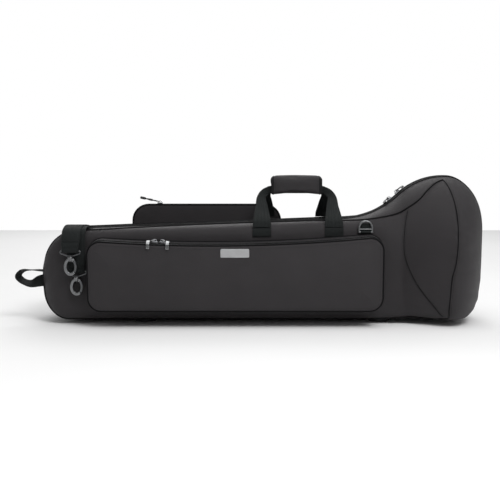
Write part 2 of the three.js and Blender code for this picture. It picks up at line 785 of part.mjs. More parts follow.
// A pocket's cover: a shallow tray, open towards the case, with a rounded front edge.
function tray(outline, openY, depth, edge, wall, side) {
  const front = openY + side * depth;
  const third = edge / 3;
  return loft([
    ringAt(outline(-edge - wall), front - side * wall),
    ringAt(outline(-wall), front - side * edge),
    ringAt(outline(-wall), openY),
    ringAt(outline(0), openY),
    ringAt(outline(0), front - side * edge),
    ringAt(outline(-third), front - side * third),
    ringAt(outline(-edge), front),
  ]);
}

// Half a pocket's zip coil along the sides and top of an outline.
function pocketCoil(outline, backY, startZ) {
  const outer = slab(new THREE.Shape(outline(POCKET_COIL_PROUD)), backY, POCKET_COIL_WIDTH);
  const inner = slab(new THREE.Shape(outline(SEAT_GAP)), backY + OVERRUN, POCKET_COIL_WIDTH + 2 * OVERRUN);
  const low = block([-reach, -reach, -reach], [reach, reach, startZ]);
  return outer.subtract(inner).subtract(low);
}

function gusset() {
  const wall = -POCKET_WALL;
  const root = -faceY + OVERRUN;
  const ring = loft([
    ringAt(pocketOutline(POCKET_FLARE), root),
    ringAt(pocketOutline(POCKET_FLARE), -faceY),
    ringAt(pocketOutline(0), gussetY + GUSSET_RIM),
    ringAt(pocketOutline(0), gussetY),
    ringAt(pocketOutline(wall), gussetY),
    ringAt(pocketOutline(wall), gussetY + GUSSET_RIM),
    ringAt(pocketOutline(POCKET_FLARE + wall), -faceY),
    ringAt(pocketOutline(POCKET_FLARE + wall), root),
  ], true);
  return ring.subtract(body(SEAT_GAP));
}

function barePlate() {
  const left = pocketLeft + PLATE_FROM_NARROW_SIDE;
  const top = pocketTop(left, 0) - PLATE_BELOW_RIM;
  const outline = roundedRectangle(left, top - PLATE_HEIGHT, left + PLATE_LENGTH, top, PLATE_CORNER, 3);
  return slab(new THREE.Shape(outline), coverFrontY - SEAT_GAP, PLATE_THICKNESS);
}

// Music pocket

const panelY = faceY + SEAT_GAP;
const musicCoverY = panelY + MUSIC_PANEL + 2 * SEAT_GAP;

// A cord with a moulded end, along X from its eye at the origin.
function cordPull() {
  const start = PULL_EYE;
  const bulb = CORD_LENGTH - CORD_BULB_LENGTH;
  const profile = [
    [0, start - CORD_RADIUS],
    [CORD_RADIUS, start],
    [CORD_RADIUS, bulb / 2],
    [CORD_COLLAR_RADIUS, bulb / 2 + CORD_RADIUS],
    [CORD_COLLAR_RADIUS, bulb * 2 / 3],
    [CORD_RADIUS, bulb - CORD_RADIUS],
    [CORD_BULB_RADIUS, bulb + CORD_RADIUS],
    [CORD_BULB_RADIUS, CORD_LENGTH - CORD_RADIUS],
    [0, CORD_LENGTH],
  ];
  const geometry = new THREE.LatheGeometry(profile.map(([radius, along]) => new THREE.Vector2(radius, along)), 10);
  geometry.rotateZ(Math.PI / 2);
  const half = (PULL_WIDTH - PIN_RADIUS) / 2;
  const corners = [
    new THREE.Vector2(0, -half),
    new THREE.Vector2(0, half),
    new THREE.Vector2(-PULL_EYE, half),
    new THREE.Vector2(-PULL_EYE, -half),
  ];
  return solid(geometry).add(wireLoop(cutCorners(corners, PIN_RADIUS), PIN_RADIUS, 6, true));
}

// Carry handle

const handleX = riseX - HANDLE_SETBACK;
const frontRootZ = neckTop - FRONT_ROOT_DROP;
const frontRootY = -faceAt(handleX + (FRONT_SPREAD + WEB_WIDTH) / 2, frontRootZ, SEAT_GAP) - WEB_THICKNESS;
const rearRootY = REAR_ROOT_OUT;
const rearRootZ = neckTop + TAPE_PROUD;
const gripBottom = neckTop + HANDLE_RISE;
const gripTop = gripBottom + GRIP_HEIGHT;
const gripCeiling = gripTop - GRIP_PAD;
const foldZ = gripCeiling - SEAT_GAP - FOLD_WIDTH / 2;

// One of the handle's two webbing loops, from root to root through the grip.
function handleWeb(rootY, rootZ, foldY, spread) {
  const half = spread / 2;
  const climb = foldZ - rootZ;
  const back = foldY - rootY;
  const bendIn = (spread - GRIP_LENGTH) / 2;
  const legShares = [
    [0, 0],
    [0.1, 0.17],
    [0.5, 0.5],
    [0.85, 0.8],
  ];
  const left = legShares.map(([backShare, climbShare]) => (
    new THREE.Vector3(handleX - half, rootY + back * backShare, rootZ + climb * climbShare)
  ));
  const mirror = (point) => new THREE.Vector3(2 * handleX - point.x, point.y, point.z);
  const turn = new THREE.Vector3(handleX - half + bendIn / 2, foldY, foldZ - bendIn / 5);
  const grip = new THREE.Vector3(handleX - GRIP_LENGTH / 2 + bendIn / 3, foldY, foldZ);
  const inner = new THREE.Vector3(handleX - GRIP_LENGTH / 4, foldY, foldZ);
  const start = [...left, turn, grip, inner];
  const controls = [...start, ...start.map(mirror).reverse()];
  const startWidths = [WEB_WIDTH, WEB_WIDTH, WEB_WIDTH, WEB_WIDTH * 0.8, FOLD_WIDTH, FOLD_WIDTH, FOLD_WIDTH];
  const widths = [...startWidths, ...[...startWidths].reverse()];
  const startThick = [
    WEB_THICKNESS, WEB_THICKNESS, WEB_THICKNESS, WEB_THICKNESS, FOLD_THICKNESS, FOLD_THICKNESS, FOLD_THICKNESS,
  ];
  const thicknesses = [...startThick, ...[...startThick].reverse()];
  const across = (tangent) => new THREE.Vector3(tangent.z, 0, -tangent.x);
  return ribbon(controls, widths, thicknesses, across, 46);
}

function grip() {
  const half = GRIP_DEPTH / 2;
  const cheek = GRIP_CHEEK - half;
  const section = new THREE.Shape();
  section.moveTo(-half, gripBottom - OVERRUN);
  section.lineTo(-half, gripTop - GRIP_ROUND);
  section.absarc(GRIP_ROUND - half, gripTop - GRIP_ROUND, GRIP_ROUND, Math.PI, Math.PI / 2, true);
  section.absarc(half - GRIP_ROUND, gripTop - GRIP_ROUND, GRIP_ROUND, Math.PI / 2, 0, true);
  section.lineTo(half, gripCeiling + GRIP_RELIEF);
  section.lineTo(cheek, gripCeiling);
  section.lineTo(cheek, gripBottom - OVERRUN);
  const left = handleX - GRIP_LENGTH / 2;
  const right = handleX + GRIP_LENGTH / 2;
  const front = [
    ...arcPoints(left + GRIP_BOTTOM_CORNER, gripBottom + GRIP_BOTTOM_CORNER, GRIP_BOTTOM_CORNER, -Math.PI, -Math.PI / 2, 3),
    new THREE.Vector2(handleX, gripBottom + GRIP_ARCH),
    ...arcPoints(right - GRIP_BOTTOM_CORNER, gripBottom + GRIP_BOTTOM_CORNER, GRIP_BOTTOM_CORNER, -Math.PI / 2, 0, 3),
    ...arcPoints(right - GRIP_CORNER, gripTop - GRIP_CORNER, GRIP_CORNER, 0, Math.PI / 2, 5),
    ...arcPoints(left + GRIP_CORNER, gripTop - GRIP_CORNER, GRIP_CORNER, Math.PI / 2, Math.PI, 5),
  ];
  const sleeve = bar(section, left, GRIP_LENGTH);
  return sleeve.intersect(slab(new THREE.Shape(front), GRIP_DEPTH, 2 * GRIP_DEPTH));
}

function frontWebFoot(x) {
  const top = frontRootZ - SEAT_GAP - WEB_THICKNESS / 2;
  const overPocket = pocketTop(x + WEB_WIDTH / 2, POCKET_FLARE) + SEAT_GAP;
  return layer(
    WEB_THICKNESS + SEAT_GAP,
    [x - WEB_WIDTH / 2, -reach, Math.max(top - FRONT_FOOT_LENGTH, overPocket)],
    [x + WEB_WIDTH / 2, 0, top],
  );
}

function rearWebFoot(x) {
  const start = rearRootY + WEB_THICKNESS / 2 + SEAT_GAP;
  return layer(
    WEB_THICKNESS + SEAT_GAP,
    [x - WEB_WIDTH / 2, start, neckCentre],
    [x + WEB_WIDTH / 2, start + REAR_FOOT_LENGTH, reach],
  );
}

// D-ring

const dRingX = riseX + D_RING_FROM_RISE;
const dTabInner = D_RING_WIRE + SEAT_GAP;
const dTabOuter = dTabInner + D_TAB_THICKNESS;
const dRingZ = pocketTop(dRingX + D_RING_RADIUS, POCKET_FLARE) + dTabOuter + RUNNING_GAP;
const dRingFaces = [-D_RING_RADIUS, D_RING_RADIUS].map((side) => faceAt(dRingX + side, dRingZ - dTabOuter, 0));
const dRingY = -Math.max(...dRingFaces) - SEAT_GAP - dTabOuter;

function dRing() {
  const outline = [
    new THREE.Vector2(-D_RING_RADIUS, 0),
    new THREE.Vector2(D_RING_RADIUS, 0),
    ...arcPoints(0, D_RING_LEG, D_RING_RADIUS, 0, Math.PI, 10),
  ];
  const crossbar = rod(D_RING_BAR_RADIUS, 2 * D_RING_RADIUS, 'x', [0, 0, D_RING_BAR_HEIGHT], 8);
  return wireLoop(outline, D_RING_WIRE).add(crossbar);
}

// The tab folds round the ring's lower bar and is sewn to the face behind it.
function dRingTab() {
  const at = [dRingX, dRingY, dRingZ];
  const sleeve = rod(dTabOuter, D_TAB_WIDTH, 'x', at).subtract(body(SEAT_GAP));
  const foot = layer(
    SEAT_GAP + D_TAB_THICKNESS,
    [dRingX - D_TAB_WIDTH / 2, -faceY - WALL, dRingZ - dTabOuter / 2],
    [dRingX + D_TAB_WIDTH / 2, 0, dRingZ + D_TAB_LENGTH],
  );
  return sleeve.add(foot).subtract(rod(dTabInner, D_TAB_WIDTH + OVERRUN, 'x', at));
}

// Strap tails

const strapX = narrowEnd + STRAP_FROM_NARROW_END;
const tails = [
  { name: 'a', x: strapX, rank: 1, hang: STRAP_A_HANG },
  { name: 'b', x: strapX + STRAP_STAGGER, rank: 0, hang: STRAP_B_HANG },
];
const strapLoopInner = EYE_WIRE + SEAT_GAP;
const strapLoopOuter = strapLoopInner + STRAP_THICKNESS;
const strapRoof = roofAt(strapX + STRAP_STAGGER + WEB_WIDTH / 2, 0, PATCH_PROUD) + SEAT_GAP + STRAP_THICKNESS / 2;
const rankStep = STRAP_THICKNESS + SEAT_GAP;

function tailPlace(tail) {
  const hangY = -faceY - STRAP_STANDOFF - tail.rank * STRAP_LAYER;
  return { roofZ: strapRoof + tail.rank * rankStep, hangY, endZ: strapRoof - tail.hang };
}

// A strap tail from its seam on the roof, over the front edge and down to the wire eye.
function strapTail(tail) {
  const { roofZ, hangY, endZ } = tailPlace(tail);
  const bend = hangY + faceY;
  const shoulder = faceY - STRAP_START;
  const point = (y, z) => new THREE.Vector3(tail.x, y, z);
  const controls = [
    point(-STRAP_START, roofZ),
    point(-STRAP_START - shoulder / 2, roofZ),
    point(-STRAP_START - shoulder * 3 / 4, roofZ - STRAP_THICKNESS / 4),
    point(-faceY + bend / 3, roofZ - WALL),
    point(hangY - bend / 6, roofZ - 3 * WALL),
    point(hangY, endZ + strapLoopOuter + STRAP_THICKNESS),
    point(hangY, endZ + (strapLoopInner + strapLoopOuter) / 2),
  ];
  const widths = controls.map(() => WEB_WIDTH);
  const thicknesses = controls.map(() => STRAP_THICKNESS);
  const web = ribbon(controls, widths, thicknesses, () => new THREE.Vector3(1, 0, 0), 18);
  const loopWidth = EYE_WIDTH - 2 * (EYE_WIRE + EYE_CORNER);
  const sleeve = rod(strapLoopOuter, loopWidth, 'x', [tail.x, hangY, endZ]);
  const bore = rod(strapLoopInner, EYE_WIDTH + OVERRUN, 'x', [tail.x, hangY, endZ]);
  return web.add(sleeve).subtract(bore);
}

// The wire eye hangs from its upper bar at the origin and ends in a swivel post.
function wireEye() {
  const outline = cutCorners([
    new THREE.Vector2(-EYE_WIDTH / 2, 0),
    new THREE.Vector2(-EYE_WIDTH / 2, -EYE_SIDE),
    new THREE.Vector2(-EYE_NECK / 2, -EYE_HEIGHT),
    new THREE.Vector2(EYE_NECK / 2, -EYE_HEIGHT),
    new THREE.Vector2(EYE_WIDTH / 2, -EYE_SIDE),
    new THREE.Vector2(EYE_WIDTH / 2, 0),
  ], EYE_CORNER);
  const postLength = EYE_WIRE + 2 * SEAT_GAP + COLLAR_HEIGHT + POST_HEAD_HEIGHT;
  const post = rod(POST_RADIUS, postLength, 'z', [0, 0, -EYE_HEIGHT - postLength / 2], 12);
  const headZ = POST_HEAD_HEIGHT / 2 - EYE_HEIGHT - postLength;
  const head = rod(POST_HEAD_RADIUS, POST_HEAD_HEIGHT, 'z', [0, 0, headZ], 12);
  return union([wireLoop(outline, EYE_WIRE, 6), post, head]);
}

const collarTop = -EYE_HEIGHT - EYE_WIRE - SEAT_GAP;
const hookCentre = new THREE.Vector2(0, collarTop - COLLAR_HEIGHT - HOOK_HEIGHT / 2 + HOOK_BAR);

function ovalPoints(width, height, from, to, steps) {
  const points = [];
  for (let i = 0; i <= steps; i += 1) {
    const angle = from + ((to - from) * i) / steps;
    points.push(new THREE.Vector2(
      hookCentre.x + (width / 2) * Math.cos(angle),
      hookCentre.y + (height / 2) * Math.sin(angle),
    ));
  }
  return points;
}

// A curved bar of the hook's oval between two angles.
function ovalBar(inset, thickness, from, to, steps) {
  const outer = ovalPoints(HOOK_WIDTH - 2 * inset, HOOK_HEIGHT - 2 * inset, from, to, steps);
  const inner = ovalPoints(
    HOOK_WIDTH - 2 * HOOK_BAR + 2 * inset,
    HOOK_HEIGHT - 2 * HOOK_BAR + 2 * inset,
    from,
    to,
    steps,
  );
  return slab(new THREE.Shape([...outer, ...inner.reverse()]), thickness / 2, thickness);
}

const gatePivot = ovalPoints(HOOK_WIDTH - HOOK_BAR, HOOK_HEIGHT - HOOK_BAR, GATE_TOP_ANGLE, GATE_TOP_ANGLE, 1)[0];

// The hook turns on the post: a collar with a bore, over an open oval.
function hookBody() {
  const oval = ovalBar(0, HOOK_THICKNESS, GATE_TOP_ANGLE, 2 * Math.PI - GATE_BOTTOM_ANGLE, 20);
  const collar = rod(COLLAR_RADIUS, COLLAR_HEIGHT, 'z', [0, 0, collarTop - COLLAR_HEIGHT / 2]);
  const bore = rod(POST_RADIUS + SEAT_GAP, 2 * COLLAR_HEIGHT, 'z', [0, 0, collarTop - COLLAR_HEIGHT / 2], 12);
  const chamber = rod(
    POST_HEAD_RADIUS + SEAT_GAP,
    HOOK_BAR,
    'z',
    [0, 0, collarTop - COLLAR_HEIGHT - HOOK_BAR / 2],
    12,
  );
  const socket = rod(
    GATE_KNUCKLE + SEAT_GAP,
    HOOK_THICKNESS + OVERRUN,
    'y',
    [gatePivot.x, 0, gatePivot.y],
  );
  return oval.add(collar).subtract(union([bore, chamber, socket]));
}

// The spring gate closes the oval from its knuckle down to the hook's tip.
function hookGate() {
  const clearance = RUNNING_GAP / HOOK_WIDTH;
  const blade = ovalBar(SEAT_GAP, GATE_THICKNESS, 2 * clearance - GATE_BOTTOM_ANGLE, GATE_TOP_ANGLE - 2 * clearance, 8);
  const knuckle = rod(GATE_KNUCKLE, GATE_THICKNESS, 'y', [gatePivot.x, 0, gatePivot.y]);
  return blade.add(knuckle);
}

// Pull loop

function pullLoop() {
  const topZ = narrowTop - LOOP_UPPER_DROP;
  const lowZ = topZ - LOOP_OPENING;
  const tipX = -halfSpan + LOOP_THICKNESS / 2;
  const point = (xShare, z) => new THREE.Vector3(THREE.MathUtils.lerp(narrowEnd, tipX, xShare), -LOOP_FRONT, z);
  const controls = [
    point(-0.2, topZ - LOOP_THICKNESS),
    point(0.35, topZ),
    point(0.8, topZ - LOOP_THICKNESS),
    point(1, topZ - LOOP_OPENING / 2),
    point(0.8, lowZ),
    point(0.35, lowZ - LOOP_THICKNESS),
    point(-0.2, lowZ),
  ];
  const widths = controls.map(() => LOOP_WIDTH);
  const thicknesses = controls.map(() => LOOP_THICKNESS);
  const across = (tangent, share) => {
    const twist = smoothShare(share, 0.55, 0.85) * Math.PI / 2;
    const flat = new THREE.Vector3(0, 1, 0);
    return flat.applyAxisAngle(tangent, twist);
  };
  const web = ribbon(controls, widths, thicknesses, across, 26);
  return web.subtract(body(LOOP_PATCH_PROUD + SEAT_GAP));
}

function loopPatch() {
  const topZ = narrowTop - LOOP_UPPER_DROP;
  return layer(
    LOOP_PATCH_PROUD,
    [-reach, -LOOP_FRONT - LOOP_WIDTH / 2, topZ - LOOP_OPENING - LOOP_WIDTH * 2 / 3],
    [narrowEnd + NARROW_SIDE_ROUND / 2, -TAPE_WIDTH - SEAT_GAP, topZ + LOOP_WIDTH / 3],
  );
}

// Fittings inside: foam blocks cut to the inner skin of one half.

function fitting(side, lowX, highX) {
  const box = sideBox(side, CRADLE_CLEARANCE, reach, [lowX, 0], [highX, reach]);
  return body(-WALL - SEAT_GAP).intersect(block(...box));
}

function slideCradle(lowX) {
  const notch = (z) => {
    const wide = rod(
      SLIDE_NOTCH_RADIUS,
      CRADLE_THICKNESS + 2 * OVERRUN,
      'x',
      [lowX + CRADLE_THICKNESS / 2, -CRADLE_CLEARANCE - SLIDE_NOTCH_DEPTH, z],
    );
    const mouth = block(
      [lowX - OVERRUN, -CRADLE_CLEARANCE - SLIDE_NOTCH_DEPTH, z - SLIDE_NOTCH_RADIUS],
      [lowX + CRADLE_THICKNESS + OVERRUN, 0, z + SLIDE_NOTCH_RADIUS],
    );
    return wide.add(mouth);
  };
  const centre = centreLine(lowX, 0);
  return fitting(-1, lowX, lowX + CRADLE_THICKNESS)
    .subtract(notch(centre - SLIDE_NOTCH_SPREAD / 2))
    .subtract(notch(centre + SLIDE_NOTCH_SPREAD / 2));
}

function slideStrap(cradleX) {
  const middleX = cradleX + CRADLE_THICKNESS / 2;
  const centre = centreLine(cradleX, 0);
  const back = SEAT_GAP - CRADLE_CLEARANCE;
  return block(
    [middleX - SLIDE_STRAP_WIDTH / 2, back, centre - SLIDE_STRAP_LENGTH / 2],
    [middleX + SLIDE_STRAP_WIDTH / 2, back + SLIDE_STRAP_THICKNESS, centre + SLIDE_STRAP_LENGTH / 2],
  );
}

function mouthpieceBlock(lowX) {
  const centre = centreLine(lowX, 0);
  const bore = rod(
    MOUTHPIECE_BORE,
    2 * SLIDE_NOTCH_DEPTH,
    'y',
    [lowX + MOUTHPIECE_LENGTH / 2, -CRADLE_CLEARANCE, centre],
  );
  return fitting(-1, lowX, lowX + MOUTHPIECE_LENGTH).subtract(bore);
}

function bellCradle(lowX, radius) {
  const notch = rod(
    radius,
    CRADLE_THICKNESS + 2 * OVERRUN,
    'x',
    [lowX + CRADLE_THICKNESS / 2, CRADLE_CLEARANCE, centreLine(lowX, 0)],
    24,
  );
  return fitting(1, lowX, lowX + CRADLE_THICKNESS).subtract(notch);
}

// Assembly

function place(mesh, [x, y, z], turn = 0) {
  mesh.position.set(x, y, z);
  mesh.rotation.y = turn;
  return mesh;
}

function buildHalves() {
  const group = new THREE.Group();
  group.add(
    piece('front_half', shellHalf(-1), 'nylon'),
    piece('rear_half', shellHalf(1), 'nylon'),
    piece('front_zip_tape', zipTape(-1), 'coil'),
    piece('rear_zip_tape', zipTape(1), 'coil'),
    piece('front_hinge_leaf', hingeLeaf(-1), 'webbing'),
    piece('rear_hinge_leaf', hingeLeaf(1), 'webbing'),
  );
  const footPlaces = [
    ['narrow', narrowEnd + FOOT_FROM_NARROW_END],
    ['bell', bellEnd - FOOT_FROM_BELL_END],
  ];
  for (const [end, x] of footPlaces) {
    group.add(place(piece(`front_foot_${end}`, foot(), 'rubber'), [x, -FOOT_FROM_MIDDLE, 0]));
    const rear = place(piece(`rear_foot_${end}`, foot(), 'rubber'), [x, FOOT_FROM_MIDDLE, 0]);
    rear.rotation.z = Math.PI;
    group.add(rear);
  }
  return group;
}

// The main sliders ride on the two arcs of the rise and meet where the arcs meet.
function buildMainSliders() {
  const group = new THREE.Group();
  const lowerAngle = RISE_ANGLE - SLIDER_SPACING / hollowRadius;
  const upperAngle = RISE_ANGLE - SLIDER_LENGTH / (2 * crownRadius);
  const lowerPlace = [riseX + hollowRadius * Math.sin(lowerAngle), 0, hollowZ - hollowRadius * Math.cos(lowerAngle)];
  const upperPlace = [crestX - crownRadius * Math.sin(upperAngle), 0, crownZ + crownRadius * Math.cos(upperAngle)];
  const sliders = [
    ['lower', lowerPlace, lowerAngle, -1],
    ['upper', upperPlace, upperAngle, 1],
  ];
  for (const [name, at, angle, direction] of sliders) {
    const holder = place(new THREE.Group(), at, -angle);
    holder.add(piece(`main_slider_${name}`, slider(COIL_WIDTH, COIL_PROUD, TAPE_PROUD), 'steel'));
    const blade = piece(
      `main_pull_${name}`,
      pull(direction, MAIN_PULL_OUT, MAIN_PULL_FORWARD, MAIN_PULL_DROP),
      'black_metal',
    );
    holder.add(place(blade, [0, 0, pinHeight(COIL_PROUD)]));
    group.add(holder);
  }
  return group;
}

function buildFrontPocket() {
  const group = new THREE.Group();
  const coilStart = pocketBottom + POCKET_COIL_START;
  const innerCoilY = gussetY + SEAT_GAP / 2 + POCKET_COIL_WIDTH;
  group.add(
    piece('front_pocket_gusset', gusset(), 'nylon'),
    piece('front_pocket_cover', tray(pocketOutline, coverY, COVER_DEPTH, COVER_EDGE, POCKET_WALL, -1), 'nylon'),
    piece('front_pocket_inner_zip', pocketCoil(pocketOutline, innerCoilY, coilStart), 'coil'),
    piece('front_pocket_outer_zip', pocketCoil(pocketOutline, coverY - SEAT_GAP / 2, coilStart), 'coil'),
    piece('bare_plate', barePlate(), 'steel'),
  );
  const splitY = (gussetY + coverY) / 2;
  const meetX = pocketLeft + POCKET_SLIDER_INSET;
  for (const [name, direction] of [['left', -1], ['right', 1]]) {
    const x = meetX + (direction * SLIDER_SPACING) / 2;
    const lean = Math.asin((x - sagX) / sagRadius);
    const holder = place(new THREE.Group(), [x, splitY, pocketTop(x, 0)], -lean);
    holder.add(piece(`pocket_slider_${name}`, slider(POCKET_COIL_WIDTH + SEAT_GAP, POCKET_COIL_PROUD, 0), 'steel'));
    const forward = COVER_DEPTH + 2 * SEAT_GAP + PLATE_THICKNESS + PULL_THICKNESS;
    const blade = piece(`pocket_pull_${name}`, pull(direction, POCKET_PULL_OUT, forward, POCKET_PULL_DROP), 'steel');
    holder.add(place(blade, [0, 0, pinHeight(POCKET_COIL_PROUD)]));
    group.add(holder);
  }
  return group;
}

function buildMusicPocket() {
  const group = new THREE.Group();
  const panel = slab(new THREE.Shape(musicOutline(0)), panelY + MUSIC_PANEL, MUSIC_PANEL);
  const cover = tray(musicOutline, musicCoverY, MUSIC_DEPTH, MUSIC_EDGE, MUSIC_WALL, 1);
  const coilStart = FOOT_HEIGHT + MUSIC_BOTTOM + MUSIC_CORNER;
  const innerCoilY = panelY + MUSIC_PANEL - SEAT_GAP / 2;
  const outerCoilY = musicCoverY + SEAT_GAP / 2 + POCKET_COIL_WIDTH;
  const sliderX = narrowEnd + MUSIC_NARROW_MARGIN + MUSIC_SLIDER_INSET;
  const splitY = panelY + MUSIC_PANEL + SEAT_GAP;
  const topZ = FOOT_HEIGHT + MUSIC_BOTTOM + MUSIC_HEIGHT;
  const holder = place(new THREE.Group(), [sliderX, splitY, topZ]);
  holder.rotation.z = Math.PI;
  holder.add(piece('music_slider', slider(POCKET_COIL_WIDTH + SEAT_GAP, POCKET_COIL_PROUD, 0), 'steel'));
  const cord = piece('music_cord_pull', cordPull(), 'rubber');
  cord.rotation.set(0, Math.PI - CORD_RISE_ANGLE, 0);
  cord.position.set(0, 0, pinHeight(POCKET_COIL_PROUD));
  holder.add(cord);
  group.add(
    piece('music_pocket_panel', panel, 'nylon'),
    piece('music_pocket_cover', cover, 'nylon'),
    piece('music_inner_zip', pocketCoil(musicOutline, innerCoilY, coilStart), 'coil'),
    piece('music_outer_zip', pocketCoil(musicOutline, outerCoilY, coilStart), 'coil'),
    holder,
  );
  return group;
}

function buildHandle() {
  const group = new THREE.Group();
  const cheek = GRIP_CHEEK - GRIP_DEPTH / 2;
  const frontFoldY = cheek + SEAT_GAP + FOLD_THICKNESS / 2;
  const rearFoldY = -frontFoldY - RUNNING_GAP;
  group.add(
    piece('front_handle_webbing', handleWeb(frontRootY, frontRootZ, frontFoldY, FRONT_SPREAD), 'webbing'),
    piece('handle_grip', grip(), 'webbing'),
    piece('rear_handle_webbing', handleWeb(rearRootY, rearRootZ, rearFoldY, REAR_SPREAD), 'webbing'),
  );
  for (const [name, sign] of [['narrow', -1], ['bell', 1]]) {
    group.add(
      piece(`front_web_foot_${name}`, frontWebFoot(handleX + (sign * FRONT_SPREAD) / 2), 'webbing'),
      piece(`rear_web_foot_${name}`, rearWebFoot(handleX + (sign * REAR_SPREAD) / 2), 'webbing'),
    );
  }
  return group;
}

function buildDRing() {
  const group = new THREE.Group();
  group.add(
    place(piece('d_ring', dRing(), 'steel'), [dRingX, dRingY, dRingZ]),
    piece('d_ring_tab', dRingTab(), 'webbing'),
  );
  return group;
}

function buildStraps() {
  const group = new THREE.Group();
  const half = WEB_WIDTH / 2 + PATCH_MARGIN;
  const patch = layer(
    PATCH_PROUD,
    [strapX - half, -TAPE_WIDTH - SEAT_GAP - PATCH_LENGTH, neckCentre],
    [strapX + STRAP_STAGGER + half, -TAPE_WIDTH - SEAT_GAP, reach],
  );
  group.add(piece('strap_patch', patch, 'webbing'));
  for (const tail of tails) {
    const { hangY, endZ } = tailPlace(tail);
    const hanger = place(new THREE.Group(), [tail.x, hangY, endZ]);
    hanger.add(
      piece(`strap_eye_${tail.name}`, wireEye(), 'steel'),
      piece(`snap_hook_${tail.name}`, hookBody(), 'steel'),
      piece(`hook_gate_${tail.name}`, hookGate(), 'steel'),
    );
    group.add(piece(`strap_tail_${tail.name}`, strapTail(tail), 'webbing'), hanger);
  }
  return group;
}

function buildPullLoop() {
  const group = new THREE.Group();
  group.add(piece('pull_loop', pullLoop(), 'webbing'), piece('pull_loop_patch', loopPatch(), 'webbing'));
  return group;
}

function buildInside() {
  const group = new THREE.Group();
  const firstX = narrowEnd + SLIDE_CRADLE_FROM_NARROW_END;
  const secondX = firstX + SLIDE_CRADLE_SPACING;
  const bellX = bellEnd - BELL_CRADLE_FROM_END;
  group.add(
    piece('slide_cradle_narrow', slideCradle(firstX), 'foam'),
    piece('slide_cradle_bell', slideCradle(secondX), 'foam'),
    piece('slide_strap', slideStrap(secondX), 'webbing'),
    piece('mouthpiece_block', mouthpieceBlock((firstX + secondX) / 2), 'foam'),
    piece('bell_cradle_throat', bellCradle(bellX - BELL_CRADLE_SPACING, BELL_NOTCH_SMALL_RADIUS), 'foam'),
    piece('bell_cradle_flare', bellCradle(bellX, BELL_NOTCH_RADIUS), 'foam'),
  );
  return group;
}

const group = new THREE.Group();
group.add(
  buildHalves(),
  buildMainSliders(),
  buildFrontPocket(),
  buildMusicPocket(),
  buildHandle(),
  buildDRing(),
  buildStraps(),
  buildPullLoop(),
  buildInside(),
);

export default group;
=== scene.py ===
"""Looks of a contoured soft case for a trombone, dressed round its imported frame.

Lengths are metres. X runs to the bell end, -Y to the front with the large pocket and Z up.
BEYOND is a place past every side of the case, and ROUND a whole turn from its underside.
"""

from __future__ import annotations

import logging
import math
from collections.abc import Callable, Iterable, Iterator, Mapping, Sequence
from contextlib import contextmanager
from dataclasses import dataclass
from enum import Enum

import bmesh
import bpy
from mathutils import Matrix, Vector, noise
from mathutils.bvhtree import BVHTree


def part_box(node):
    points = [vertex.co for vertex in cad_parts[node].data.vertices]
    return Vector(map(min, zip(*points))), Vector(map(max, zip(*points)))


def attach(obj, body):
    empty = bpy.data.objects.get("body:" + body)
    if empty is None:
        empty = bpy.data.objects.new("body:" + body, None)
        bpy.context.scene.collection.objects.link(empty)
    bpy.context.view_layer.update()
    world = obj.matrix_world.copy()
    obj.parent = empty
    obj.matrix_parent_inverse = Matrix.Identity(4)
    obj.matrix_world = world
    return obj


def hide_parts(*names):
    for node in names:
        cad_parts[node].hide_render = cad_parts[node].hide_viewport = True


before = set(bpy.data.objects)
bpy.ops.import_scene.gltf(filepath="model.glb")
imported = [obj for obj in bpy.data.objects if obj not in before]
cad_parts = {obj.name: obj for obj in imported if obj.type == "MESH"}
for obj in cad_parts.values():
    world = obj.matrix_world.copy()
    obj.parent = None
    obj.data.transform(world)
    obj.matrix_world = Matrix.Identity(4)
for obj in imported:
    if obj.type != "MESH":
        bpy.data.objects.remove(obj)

LOG = logging.getLogger("case")
MM = 0.001
BEYOND = 1.0
ROUND = (-math.pi / 2, math.pi * 3 / 2)
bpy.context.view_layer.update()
Place = Callable[[float, float], Vector]


# Shader maths


class Socket:
    """A shader value that Python's operators combine."""

    def __init__(self, recipe: Nodes, link: bpy.types.NodeSocket) -> None:
        """Wraps an output of one of the recipe's nodes."""
        self.recipe = recipe
        self.link = link

    def math(self, operation: str, *values: Socket | float) -> Socket:
        """Adds a Math node.

        Args:
            operation: The node's operation.
            values: The node's inputs in their order.

        Returns:
            The node's output.
        """
        inputs = dict(enumerate(values))
        made = self.recipe.node("ShaderNodeMath", {"operation": operation}, inputs)
        return Socket(self.recipe, made.outputs[0])

    def __add__(self, other: Socket | float) -> Socket:
        """The sum."""
        return self.math("ADD", self, other)

    __radd__ = __add__

    def __sub__(self, other: Socket | float) -> Socket:
        """The difference."""
        return self.math("SUBTRACT", self, other)

    def __rsub__(self, other: float) -> Socket:
        """A number less this value."""
        return self.math("SUBTRACT", other, self)

    def __mul__(self, other: Socket | float) -> Socket:
        """The product."""
        return self.math("MULTIPLY", self, other)

    __rmul__ = __mul__

    def sine(self) -> Socket:
        """The sine of the value."""
        return self.math("SINE", self)

    def size(self) -> Socket:
        """The value without its sign."""
        return self.math("ABSOLUTE", self)


